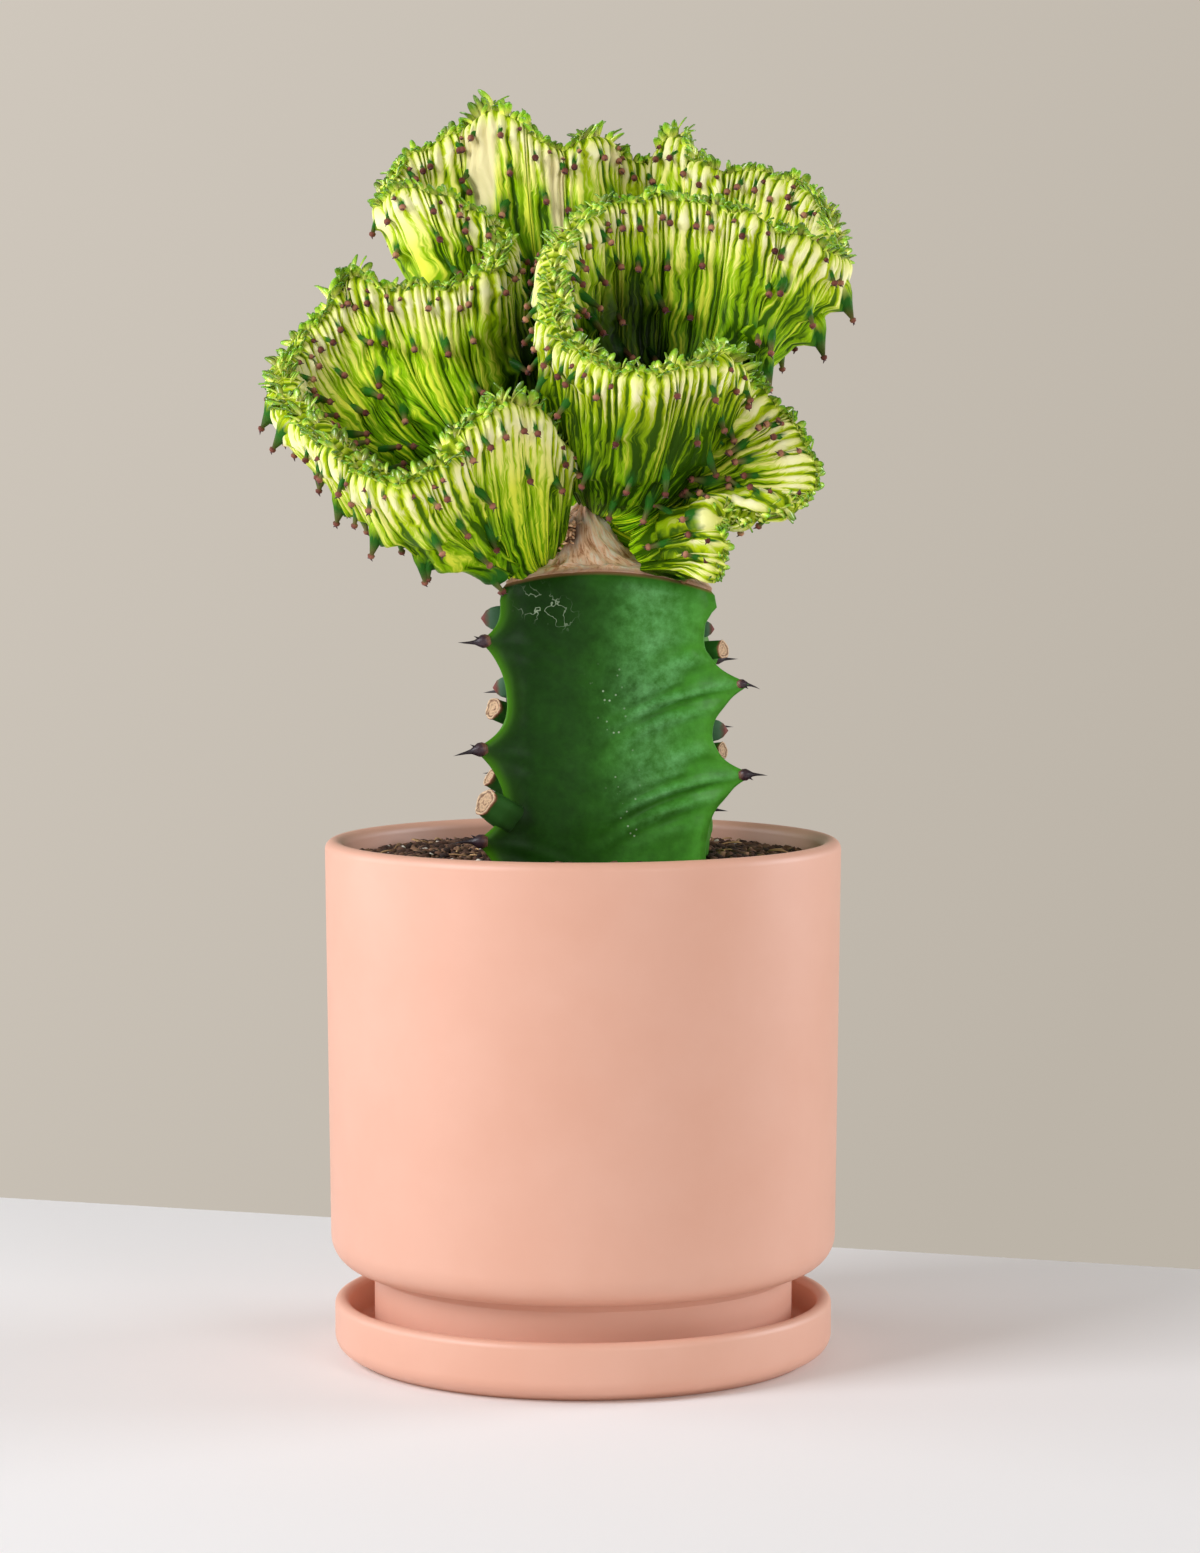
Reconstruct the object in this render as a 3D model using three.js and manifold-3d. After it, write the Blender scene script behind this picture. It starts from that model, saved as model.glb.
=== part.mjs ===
import * as THREE from "three";
import { mergeVertices } from "three/addons/utils/BufferGeometryUtils.js";
import Module from "manifold-3d";

// A grafted, crested succulent in a straight ceramic pot with its saucer.
// Millimetres, +Z up, the saucer's underside on z = 0, the pot's axis on x = y = 0,
// the side seen in the photograph turned to -Y.

const GAP = 0.3;
const FINEST_EDGE = 0.05;

const TURNED_SEGMENTS = 48;

const SAUCER_RADIUS = 67.8;
const SAUCER_HEIGHT = 16;
const SAUCER_RIM = 4;
const SAUCER_FLOOR = 5;
const SAUCER_FOOT_RADIUS = 62;
const SAUCER_EDGE = 5;
const SAUCER_EDGE_LIFT = 1.2;
const SAUCER_COVE = 3;

const POT_RADIUS = 70;
const POT_LOW_RADIUS = 68.8;
const POT_TOP = 141;
const POT_WALL = 5;
const POT_BODY_BOTTOM = 24.5;
const POT_FOOT_RADIUS = 57;
const POT_FLOOR = 12;
const POT_EDGE = 9;
const POT_INNER_BEND = 14;
const DRAIN_RADIUS = 7;

const SOIL_RADIUS = POT_RADIUS - POT_WALL - GAP;
const SOIL_LOW_RADIUS = 50;
const SOIL_LEVEL = 135.2;
const SOIL_LUMP = 1.3;
const SOIL_SEGMENTS = 36;
// Radius inside the soil's edge, height and unevenness of each ring, from the pot's floor up.
const SOIL_RINGS = [
  [SOIL_RADIUS - SOIL_LOW_RADIUS, POT_FLOOR, 0],
  [6, POT_BODY_BOTTOM + POT_INNER_BEND + 2, 0],
  [0, POT_BODY_BOTTOM + POT_INNER_BEND + 16, 0],
  [0, SOIL_LEVEL - 1, SOIL_LUMP],
  [9, SOIL_LEVEL + 0.3, SOIL_LUMP * 1.5],
  [22, SOIL_LEVEL + 1, SOIL_LUMP * 1.5],
];

const STOCK_BOTTOM = 98;
const STOCK_CENTRE_X = 7.5;
const STOCK_CENTRE_Y = -1.5;
const STOCK_TOP_PEAK = 214.6;
const STOCK_TOP_FALL = 5;
const STOCK_TOP_MIDDLE_X = 4;
const STOCK_TOP_HALF_WIDTH = 30;
const STOCK_SHOULDER = 4;
const STOCK_CROWN = 0.4;
const STOCK_HALF_DEPTH = 25;
const WING_TIP = 3.4;
const WING_ROOT = 26;
const WING_HOLLOW = 1.2;
const FACE_BULGE = 2.2;

const NECK_X = 3.5;
const NECK_Y = -2;
const NECK_RADIUS = 8;
const NECK_BOTTOM = 219;
const NECK_TOP = 233;
const NECK_SEGMENTS = 14;
const CORE_RADIUS = 11;
const CORE_STRETCH = 1.42;
const CORE_BOTTOM = 225;
const CORE_TOP = 254;
const CORE_PROFILE = [
  [0, CORE_BOTTOM],
  [CORE_RADIUS * 0.77, CORE_BOTTOM + 1],
  [CORE_RADIUS, CORE_BOTTOM + 6],
  [CORE_RADIUS * 0.95, CORE_BOTTOM + 13],
  [CORE_RADIUS * 0.55, CORE_TOP - 6],
  [0, CORE_TOP],
];

const RIB_COUNT = 70;
const RIDGE_SHARE = 1.16;
const VALLEY_SHARE = 0.74;
const BASE_HALF_THICKNESS = 1.3;
const EDGE_HALF_THICKNESS = 4.9;
const SCALLOP = 1.6;
const RIB_LEVELS = [0, 0.34, 0.64, 0.87, 1];
const LIP_SHARE = 0.62;

const LOBE_STEM = [
  { at: [4, -4, 231], radius: 8, height: 9 },
  { at: [13, -12, 225.5], radius: 7.5, height: 8.5 },
  { at: [21, -19, 220.5], radius: 6, height: 7.5 },
  { at: [27, -25, 219], radius: 3.5, height: 5 },
];

// Rows of teeth: distance below the edge, and which ribs carry one.
const TOOTH_ROWS = [
  { below: 9, every: 2, first: 0 },
  { below: 22, every: 2, first: 1 },
  { below: 38, every: 3, first: 0 },
  { below: 57, every: 4, first: 2 },
];
const LOWEST_TOOTH = 0.36;
const TOOTH_HEIGHT = 4.8;
const TOOTH_HOOK = 3.8;
const TOOTH_HALF_WIDTH = 2.5;
const TOOTH_HALF_LENGTH = 4.3;
const FRILL_STEP = 5.2;
const LEAF_LENGTH = 4.4;
const LEAF_HALF_WIDTH = 2.3;
const LEAF_HALF_THICKNESS = 1.1;
const LEAF_ROOT = 2;

// The line of the crest's edge, from the front of the left lobe round to the smallest lobe by the
// graft: x, y, z, then the lean of the growth at the edge and the sag of its ribs in degrees, the
// turn of the growth in plan, and how far out its ribs start.
const CREST_LINE = [
  [0, -31, 245, 5, 38, 0, 0.16],
  [-7, -38, 254, 5, 48, 0, 0.16],
  [-16, -44, 259, 5, 58, 0, 0.16],
  [-26, -48, 257, 5, 62, 0, 0.16],
  [-33, -52, 249, 10, 62, 0, 0.16],
  [-40, -56, 242, 12, 60, 0, 0.16],
  [-47, -58, 238, 15, 57, 0, 0.16],
  [-56, -57, 240, 15, 53, 0, 0.16],
  [-65, -50, 246, 15, 48, 0, 0.16],
  [-74, -38, 253, 20, 46, 0, 0.16],
  [-82, -22, 260, 20, 45, 0, 0.16],
  [-84, -6, 269, 20, 45, 0, 0.16],
  [-80, 5, 277, 20, 40, 0, 0.16],
  [-73, 10, 285, 15, 38, 0, 0.16],
  [-67, 12, 293, 12, 35, 0, 0.16],
  [-57, 11, 292, 10, 35, 0, 0.16],
  [-46, 10, 290, 8, 35, 0, 0.16],
  [-36, 10, 291, 5, 30, 0, 0.16],
  [-27, 13, 295, 5, 25, 0, 0.16],
  [-22, 20, 302, 5, 20, 0, 0.16],
  [-26, 27, 309, 8, 20, 0, 0.16],
  [-34, 28, 314, 10, 25, 0, 0.16],
  [-44, 28, 317, 12, 25, 0, 0.16],
  [-53, 28, 317, 15, 25, 0, 0.16],
  [-58, 34, 316, 15, 25, 0, 0.16],
  [-56, 42, 321, 12, 25, 0, 0.16],
  [-50, 46, 327, 10, 22, 0, 0.16],
  [-41, 48, 332, 8, 20, 0, 0.16],
  [-33, 48, 338, 5, 20, 0, 0.16],
  [-26, 46, 343, 5, 18, 0, 0.16],
  [-18, 44, 340, 5, 18, 0, 0.16],
  [-10, 44, 334, 5, 18, 0, 0.16],
  [-3, 46, 333, 8, 18, 0, 0.16],
  [4, 50, 337, 10, 20, 0, 0.16],
  [10, 57, 333, 10, 20, 0, 0.16],
  [17, 61, 329, 10, 20, 0, 0.16],
  [24, 58, 333, 8, 20, 0, 0.16],
  [31, 52, 332, 8, 20, 0, 0.16],
  [41, 49, 326, 10, 25, 0, 0.16],
  [52, 46, 323, 12, 28, 0, 0.16],
  [64, 41, 318, 15, 30, 0, 0.16],
  [72, 30, 308, 18, 35, 0, 0.16],
  [74, 16, 299, 18, 38, 0, 0.16],
  [65, 5, 302, 10, 35, 0, 0.16],
  [51, 2, 307, 5, 35, 0, 0.16],
  [37, 3, 312, 0, 30, 0, 0.16],
  [23, 4, 314, 0, 20, 0, 0.16],
  [9, 0, 313, 0, 10, 0, 0.16],
  [-1, -8, 308, 0, 5, 0, 0.16],
  [-7, -19, 299, 5, 10, 0, 0.16],
  [-8, -30, 287, 10, 15, 0, 0.16],
  [-5, -40, 277, 15, 20, 0, 0.16],
  [3, -48, 270, 20, 20, 0, 0.16],
  [14, -52, 267, 22, 20, 0, 0.16],
  [25, -50, 268, 22, 20, 0, 0.17],
  [33, -44, 271, 20, 20, 0, 0.19],
  [39, -34, 271, 20, 18, 10, 0.21],
  [43, -25, 267, 25, 15, 20, 0.23],
  [48, -20, 268, 35, 5, 30, 0.26],
  [55, -22, 263, 50, -5, 35, 0.28],
  [61, -26, 253, 65, -8, 35, 0.3],
  [63, -30, 242, 85, -10, 30, 0.32],
  [58, -33, 232, 100, -8, 25, 0.36],
  [47, -35, 226, 100, 0, 30, 0.42],
  [38, -37, 226, 75, 0, 40, 0.5],
  [38, -39, 219, 90, 0, 45, 0.56],
  [34, -39, 212.5, 110, 0, 45, 0.58],
];
const RIB_ORIGIN_Z = 230;
const RIB_SPREAD = 0.16;
const LOBE_DROP = 34;
const RIB_STIFFNESS = 0.38;
const EDGE_STEP = 0.002;
const RIB_STEP = 0.01;

// Reach of each wing of the rootstock from its middle, by height: gentle above a tooth, steep below.
const WINGS = [
  {
    side: [-1, -1],
    reach: [[98, 26], [134, 29], [140.4, 33.3], [147, 28], [153.6, 25.4], [162.9, 26.2], [166.9, 33.3],
      [174, 28.5], [184, 26.7], [190.7, 28], [196, 32.8], [203, 29.5], [216, 27.5]],
    teeth: [140.4, 166.9, 196],
  },
  {
    side: [1, -1],
    reach: [[98, 26], [134, 25.5], [140.4, 25.2], [153.6, 26.7], [158.9, 33.8], [166, 29.5], [172, 27],
      [178.8, 27.5], [182.8, 32.8], [190, 28], [197, 26], [203, 25.5], [216, 28.5]],
    teeth: [158.9, 182.8],
  },
  {
    side: [1, 1],
    reach: [[98, 26], [138, 26], [146, 32], [152, 27], [164, 27], [171, 33.5], [177, 28], [188, 27],
      [195, 34.5], [201, 29], [216, 28]],
    teeth: [146, 171, 195],
  },
  {
    side: [-1, 1],
    reach: [[98, 26], [140, 27], [152, 30], [157, 34.5], [163, 28], [174, 28], [180, 34.5], [186, 28],
      [197, 29.5], [202, 34.5], [206, 30], [216, 28]],
    teeth: [157, 180, 202],
  },
];
const STOCK_LEVELS = [98, 138, 141, 147, 152.5, 157.5, 162.5, 167, 172, 178, 182.5, 189, 195.5, 202, 206];
const STOCK_TOP_LEVEL = 209.4;

// Short stumps left where side leaves were cut: foot, direction, length, foot and face radius.
const STUMPS = [
  { foot: [-13, -19, 148], aim: [-0.84, -0.35, 0.42], length: 16, wide: 4.8, face: 4.6 },
  { foot: [-14, 3, 178], aim: [-0.93, -0.1, 0.35], length: 14, wide: 3.8, face: 3.3 },
  { foot: [-14, 8, 155], aim: [-0.9, -0.1, 0.42], length: 14, wide: 3.6, face: 2.6 },
  { foot: [-12, -8, 204], aim: [-0.93, -0.2, 0.1], length: 13, wide: 3.4, face: 2.4 },
  { foot: [28, -4, 190], aim: [0.88, -0.25, 0.4], length: 12, wide: 3.8, face: 3.5 },
  { foot: [28, -2, 164], aim: [0.9, -0.2, 0.38], length: 12, wide: 3.6, face: 3.2 },
];

const SPINE_LENGTH = 8.5;
const SPINE_RADIUS = 0.9;
const SPINE_ROOT = 2.6;

// Steps of the corky mound above the cut: centre, radii, height and roughness.
const MOUND_STEPS = [
  { at: [5, -3], radii: [19, 17], z: 216.3, rough: 0.12 },
  { at: [3, -4], radii: [12.5, 11.5], z: 219.5, rough: 0.16 },
  { at: [1.5, -6], radii: [8.2, 7.4], z: 225, rough: 0.16 },
  { at: [0.5, -8.5], radii: [4.2, 3.6], z: 230, rough: 0.1 },
];
const MOUND_PEAK = [0.5, -8.5, 231.5];
const MOUND_BRIM = 1.5;
const MOUND_DEPTH = 6;

const wasm = await Module();
wasm.setup();

// A repeatable spread of small irregularities.
function seeded(seed) {
  let state = seed >>> 0;
  return () => {
    state = (state + 0x6d2b79f5) >>> 0;
    let t = Math.imul(state ^ (state >>> 15), 1 | state);
    t = (t + Math.imul(t ^ (t >>> 7), 61 | t)) ^ t;
    return ((t ^ (t >>> 14)) >>> 0) / 4294967296;
  };
}

function solidOf(geometry) {
  const plain = geometry.clone();
  plain.deleteAttribute("normal");
  plain.deleteAttribute("uv");
  const merged = mergeVertices(plain, 1e-4);
  return new wasm.Manifold(
    new wasm.Mesh({
      numProp: 3,
      vertProperties: new Float32Array(merged.attributes.position.array),
      triVerts: new Uint32Array(merged.index.array),
    }),
  );
}

// A closed body from points and faces; every face lists its corners seen from outside.
function bodyOf(points, faces) {
  const position = [];
  for (const face of faces) {
    for (let i = 1; i + 1 < face.length; i++) {
      for (const k of [face[0], face[i], face[i + 1]]) {
        position.push(points[k].x, points[k].y, points[k].z);
      }
    }
  }
  const geometry = new THREE.BufferGeometry();
  geometry.setAttribute("position", new THREE.Float32BufferAttribute(position, 3));
  return solidOf(geometry);
}

// Rings of equally many points, joined in order and closed at both ends.
function loft(rings, closeFirst, closeLast) {
  const n = rings[0].length;
  const points = rings.flat();
  const faces = [];
  for (let j = 0; j + 1 < rings.length; j++) {
    for (let i = 0; i < n; i++) {
      const k = (i + 1) % n;
      faces.push([j * n + i, j * n + k, (j + 1) * n + k]);
      faces.push([j * n + i, (j + 1) * n + k, (j + 1) * n + i]);
    }
  }
  const centreOf = (ring) => ring.reduce((a, p) => a.add(p), new THREE.Vector3()).divideScalar(n);
  const first = points.push(closeFirst ?? centreOf(rings[0])) - 1;
  const last = points.push(closeLast ?? centreOf(rings[rings.length - 1])) - 1;
  const top = (rings.length - 1) * n;
  for (let i = 0; i < n; i++) {
    const k = (i + 1) % n;
    faces.push([first, k, i]);
    faces.push([last, top + i, top + k]);
  }
  return bodyOf(points, faces);
}

// A profile of (radius, height) pairs turned about +Z.
function turned(profile, segments = TURNED_SEGMENTS) {
  const points = profile.map(([r, z]) => new THREE.Vector2(r, z));
  const geometry = new THREE.LatheGeometry(points, segments);
  geometry.rotateX(Math.PI / 2);
  return geometry;
}

function arc(cx, cz, radius, from, to, steps) {
  return Array.from({ length: steps + 1 }, (_, i) => {
    const a = THREE.MathUtils.degToRad(from + ((to - from) * i) / steps);
    return [cx + radius * Math.cos(a), cz + radius * Math.sin(a)];
  });
}

function saucer() {
  const edge = SAUCER_EDGE;
  const lip = SAUCER_RIM / 2;
  const inner = SAUCER_RADIUS - SAUCER_RIM;
  return solidOf(
    turned([
      [0, 0],
      [SAUCER_FOOT_RADIUS, 0],
      ...arc(SAUCER_RADIUS - edge, edge + SAUCER_EDGE_LIFT, edge, -60, 0, 3),
      ...arc(SAUCER_RADIUS - lip, SAUCER_HEIGHT - lip, lip, 0, 180, 4),
      [inner, SAUCER_FLOOR + SAUCER_COVE],
      [inner - SAUCER_COVE, SAUCER_FLOOR],
      [0, SAUCER_FLOOR],
    ]),
  );
}

function pot() {
  const edge = POT_EDGE;
  const lip = POT_WALL / 2;
  const inner = POT_RADIUS - POT_WALL;
  return solidOf(
    turned([
      [DRAIN_RADIUS, SAUCER_FLOOR],
      [POT_FOOT_RADIUS, SAUCER_FLOOR],
      [POT_FOOT_RADIUS, POT_BODY_BOTTOM],
      ...arc(POT_LOW_RADIUS - edge, POT_BODY_BOTTOM + edge, edge, -78, 0, 4),
      ...arc(POT_RADIUS - lip, POT_TOP - lip, lip, 0, 180, 4),
      [inner, POT_BODY_BOTTOM + POT_INNER_BEND],
      [POT_FOOT_RADIUS - POT_WALL, POT_FLOOR],
      [DRAIN_RADIUS, POT_FLOOR],
      [DRAIN_RADIUS, SAUCER_FLOOR],
    ]),
  );
}

function soil() {
  const random = seeded(11);
  const rings = SOIL_RINGS.map(([inset, z, lump]) =>
    Array.from({ length: SOIL_SEGMENTS }, (_, i) => {
      const a = (i / SOIL_SEGMENTS) * 2 * Math.PI;
      const radius = SOIL_RADIUS - inset;
      return new THREE.Vector3(radius * Math.cos(a), radius * Math.sin(a), z + lump * (random() - 0.5));
    }),
  );
  const floor = new THREE.Vector3(0, 0, POT_FLOOR);
  const top = new THREE.Vector3(0, 0, SOIL_LEVEL + 1);
  return loft(rings, floor, top).subtract(stockBody(GAP));
}

function reachAt(wing, z) {
  const list = wing.reach;
  for (let i = 1; i < list.length; i++) {
    if (z <= list[i][0]) {
      const share = (z - list[i - 1][0]) / (list[i][0] - list[i - 1][0]);
      return THREE.MathUtils.lerp(list[i - 1][1], list[i][1], Math.max(share, 0));
    }
  }
  return list[list.length - 1][1];
}

// Place of a wing's edge at a reach and a height.
function wingEdge(wing, reach, z, grow) {
  const depth = STOCK_HALF_DEPTH + (reach - WING_ROOT) * 0.3 + grow;
  return new THREE.Vector3(
    STOCK_CENTRE_X + wing.side[0] * (reach + grow),
    STOCK_CENTRE_Y + wing.side[1] * depth,
    z,
  );
}

function stockTopAt(x) {
  return STOCK_TOP_PEAK - STOCK_TOP_FALL * ((x - STOCK_TOP_MIDDLE_X) / STOCK_TOP_HALF_WIDTH) ** 2;
}

// One level of the rootstock, counter-clockwise from the front left: four blunt wing edges that
// follow their teeth, a hollow beside each and a swell in the middle of every face.
function stockRing(z, grow, atTop) {
  const ring = [];
  for (let w = 0; w < 4; w++) {
    const wings = [WINGS[w], WINGS[(w + 1) % 4]];
    const tips = wings.map((wing) => wingEdge(wing, reachAt(wing, z), z, grow));
    const roots = wings.map((wing) => wingEdge(wing, WING_ROOT, z, grow));
    const along = roots[1].clone().sub(roots[0]).normalize();
    const out = new THREE.Vector3(along.y, -along.x, 0);
    const face = (share, offset) => roots[0].clone().lerp(roots[1], share).addScaledVector(out, offset);
    const points = [
      tips[0].clone().addScaledVector(along, WING_TIP / 2),
      face(0.17, -WING_HOLLOW),
      face(0.5, FACE_BULGE),
      face(0.83, -WING_HOLLOW),
      tips[1].clone().addScaledVector(along, -WING_TIP / 2),
    ];
    for (const p of points) {
      p.z = atTop ? stockTopAt(p.x) - STOCK_SHOULDER + grow : z;
      ring.push(p);
    }
  }
  return ring;
}

function stockBody(grow = 0) {
  const levels = STOCK_LEVELS.map((z) => stockRing(z, grow, false));
  const shoulder = stockRing(STOCK_TOP_LEVEL, grow, true);
  const middle = new THREE.Vector3(STOCK_CENTRE_X, STOCK_CENTRE_Y, 0);
  const inner = shoulder.map((p) => {
    const q = p.clone().lerp(middle, 0.12);
    q.z = stockTopAt(q.x) + grow;
    return q;
  });
  const heart = shoulder.map((p) => {
    const q = p.clone().lerp(middle, 0.55);
    q.z = stockTopAt(q.x) + STOCK_CROWN + grow;
    return q;
  });
  const foot = middle.clone().setZ(STOCK_BOTTOM);
  const peak = middle.clone().setZ(STOCK_TOP_PEAK + STOCK_CROWN + grow);
  return loft([...levels, shoulder, inner, heart], foot, peak);
}

// A slim pyramid from a square foot to a point.
function spike(foot, aim, length, wide, thick, across) {
  const side = across.clone().normalize();
  const other = new THREE.Vector3().crossVectors(aim, side).normalize();
  const points = [
    foot.clone().addScaledVector(side, wide),
    foot.clone().addScaledVector(other, thick),
    foot.clone().addScaledVector(side, -wide),
    foot.clone().addScaledVector(other, -thick),
    foot.clone().addScaledVector(aim, length),
  ];
  return bodyOf(points, [[3, 2, 1, 0], [0, 1, 4], [1, 2, 4], [2, 3, 4], [3, 0, 4]]);
}

function stump({ foot, aim, length, wide, face }) {
  const axis = new THREE.Vector3(...aim).normalize();
  const side = new THREE.Vector3(0, 1, 0).cross(axis).normalize();
  const up = new THREE.Vector3().crossVectors(axis, side);
  const start = new THREE.Vector3(...foot);
  const ringAt = (distance, radius) =>
    Array.from({ length: 8 }, (_, i) => {
      const a = (i / 8) * 2 * Math.PI;
      return start
        .clone()
        .addScaledVector(axis, distance)
        .addScaledVector(side, radius * Math.cos(a))
        .addScaledVector(up, radius * Math.sin(a));
    });
  return loft([ringAt(0, wide), ringAt(length * 0.8, wide), ringAt(length, face)]);
}

function rootstock() {
  const parts = [stockBody()];
  for (const wing of WINGS) {
    for (const z of wing.teeth) {
      const tip = wingEdge(wing, reachAt(wing, z), z, 0);
      const out = new THREE.Vector3(wing.side[0], wing.side[1] * 0.25, 0.05).normalize();
      const foot = tip.clone().addScaledVector(out, -SPINE_ROOT);
      for (const spread of [-0.5, 0.5]) {
        const aim = out.clone().add(new THREE.Vector3(0, 0, spread * 0.3));
        aim.y += spread * wing.side[1] * 0.7;
        const root = foot.clone().add(new THREE.Vector3(0, 0, spread * 1.2));
        const up = new THREE.Vector3(0, 0, 1);
        parts.push(spike(root, aim.normalize(), SPINE_LENGTH + SPINE_ROOT, SPINE_RADIUS, SPINE_RADIUS, up));
      }
    }
  }
  parts.push(...STUMPS.map(stump));
  return tidy(wasm.Manifold.union(parts));
}

// The round stem of the crest in the callus.
function neck(grow = 0) {
  const geometry = turned(
    [
      [0, NECK_BOTTOM - grow],
      [NECK_RADIUS + grow, NECK_BOTTOM - grow],
      [NECK_RADIUS + grow, NECK_TOP],
      [0, NECK_TOP],
    ],
    NECK_SEGMENTS,
  );
  geometry.translate(NECK_X, NECK_Y, 0);
  return solidOf(geometry);
}

// The lump where all ribs of the crest meet.
function core() {
  const geometry = turned(CORE_PROFILE, NECK_SEGMENTS);
  geometry.scale(CORE_STRETCH, 1, 1);
  geometry.translate(NECK_X, NECK_Y, 0);
  return solidOf(geometry);
}

// The corky mound that closed over the graft: low over the cut, steep round the crest's neck.
function mound(grow = 0) {
  const rim = stockRing(STOCK_TOP_LEVEL, 0, true);
  const middle = new THREE.Vector3(STOCK_CENTRE_X, STOCK_CENTRE_Y, 0);
  const random = seeded(5);
  const steps = MOUND_STEPS.map(({ at, radii, z, rough }) =>
    rim.map((p) => {
      const a = Math.atan2(p.y - middle.y, p.x - middle.x);
      const r = 1 + rough * (random() - 0.5);
      return new THREE.Vector3(
        at[0] + (radii[0] * r + grow) * Math.cos(a),
        at[1] + (radii[1] * r + grow) * Math.sin(a),
        z + grow + rough * 4 * (random() - 0.5),
      );
    }),
  );
  const low = rim.map((p) => {
    const q = p.clone().lerp(middle, 0.13);
    q.z = STOCK_TOP_LEVEL - MOUND_DEPTH;
    return q;
  });
  const brim = low.map((p) => p.clone().setZ(stockTopAt(p.x) + MOUND_BRIM + grow));
  const peak = new THREE.Vector3(...MOUND_PEAK);
  peak.z += grow;
  return loft([low, brim, ...steps], undefined, peak);
}

function graftCallus() {
  return tidy(mound().subtract(stockBody(GAP)).subtract(neck(GAP)));
}

// The outside of one body: crumbs left by a cut and pockets closed inside it are dropped, and so
// are edges shorter than the finest detail.
function tidy(solid) {
  const bodies = solid.simplify(FINEST_EDGE).decompose();
  bodies.sort((a, b) => b.volume() - a.volume());
  return bodies[0];
}

const crestLine = new THREE.CatmullRomCurve3(
  CREST_LINE.map(([x, y, z]) => new THREE.Vector3(x, y, z)),
  false,
  "centripetal",
);
crestLine.arcLengthDivisions = 1200;
const CREST_LENGTH = crestLine.getLength();

// The rib that ends at a share u of the crest's edge, as a curve from the neck to the edge.
function ribCurve(u) {
  const t = crestLine.getUtoTmapping(THREE.MathUtils.clamp(u, 0, 1));
  const tip = crestLine.getPoint(t);
  const place = t * (CREST_LINE.length - 1);
  const i = Math.min(Math.floor(place), CREST_LINE.length - 2);
  const blend = (k) => THREE.MathUtils.lerp(CREST_LINE[i][k], CREST_LINE[i + 1][k], place - i);
  const lean = THREE.MathUtils.degToRad(blend(3));
  const sag = THREE.MathUtils.degToRad(blend(4));
  const turn = THREE.MathUtils.degToRad(blend(5));
  const spread = blend(6);
  const root = new THREE.Vector3(
    NECK_X + spread * (tip.x - NECK_X),
    NECK_Y + spread * (tip.y - NECK_Y),
    RIB_ORIGIN_Z - LOBE_DROP * Math.max(spread - RIB_SPREAD, 0),
  );
  const chord = tip.clone().sub(root);
  const flat = Math.hypot(chord.x, chord.y);
  const out = new THREE.Vector3(chord.x / flat, chord.y / flat, 0);
  const rise = Math.atan2(chord.z, flat) - sag;
  const reach = RIB_STIFFNESS * chord.length();
  const start = root
    .clone()
    .addScaledVector(out, reach * Math.cos(rise))
    .add(new THREE.Vector3(0, 0, reach * Math.sin(rise)));
  const grown = out.clone().applyAxisAngle(new THREE.Vector3(0, 0, 1), turn);
  const growth = grown.multiplyScalar(Math.sin(lean)).setZ(Math.cos(lean));
  const end = tip.clone().addScaledVector(growth, -reach);
  return new THREE.CubicBezierCurve3(root, start, end, tip);
}

// Position, across, outward along the rib and the face's normal at a share u of the edge and a
// share v of the rib.
function crestFrame(u, v) {
  const before = ribCurve(Math.max(u - EDGE_STEP, 0));
  const after = ribCurve(Math.min(u + EDGE_STEP, 1));
  const rib = ribCurve(u);
  const across = after.getPoint(v).sub(before.getPoint(v)).normalize();
  const outer = rib.getPoint(Math.min(v + RIB_STEP, 1));
  const along = outer.sub(rib.getPoint(Math.max(v - RIB_STEP, 0))).normalize();
  const normal = new THREE.Vector3().crossVectors(across, along).normalize();
  return { at: rib.getPoint(v), across, along, normal, length: rib.getLength() };
}

function halfThickness(v) {
  return THREE.MathUtils.lerp(BASE_HALF_THICKNESS, EDGE_HALF_THICKNESS, v);
}

// One rib of the crest: a tapering six-sided bar with a ridge on each face.
function rib(k) {
  const uLeft = k / RIB_COUNT;
  const uRight = (k + 1) / RIB_COUNT;
  const rings = RIB_LEVELS.map((v, j) => {
    const lip = j === RIB_LEVELS.length - 1 ? LIP_SHARE : 1;
    const scallop = j === RIB_LEVELS.length - 1 ? SCALLOP : 0;
    const h = halfThickness(v) * lip;
    const left = crestFrame(uLeft, v);
    const right = crestFrame(uRight, v);
    const ridge = crestFrame((uLeft + uRight) / 2, v);
    const edge = (f, share) => f.at.clone().addScaledVector(f.normal, share * h);
    const crown = (share) => edge(ridge, share).addScaledVector(ridge.along, scallop);
    return [
      edge(left, -VALLEY_SHARE),
      crown(-RIDGE_SHARE),
      edge(right, -VALLEY_SHARE),
      edge(right, VALLEY_SHARE),
      crown(RIDGE_SHARE),
      edge(left, VALLEY_SHARE),
    ];
  });
  const points = rings.flat();
  const faces = [[0, 1, 2], [0, 2, 3], [0, 3, 5], [3, 4, 5]];
  for (let j = 0; j + 1 < rings.length; j++) {
    const a = j * 6;
    const b = a + 6;
    for (const [p, q] of [[0, 1], [1, 2], [3, 4], [4, 5]]) {
      faces.push([b + q, a + q, a + p]);
      faces.push([b + p, b + q, a + p]);
    }
    faces.push([b + 3, a + 3, a + 2]);
    faces.push([b + 2, b + 3, a + 2]);
    faces.push([b + 5, a + 0, a + 5]);
    faces.push([b + 5, b + 0, a + 0]);
  }
  const t = (rings.length - 1) * 6;
  faces.push([t + 2, t + 1, t], [t + 3, t + 2, t], [t + 5, t + 3, t], [t + 5, t + 4, t + 3]);
  return bodyOf(points, faces);
}

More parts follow.
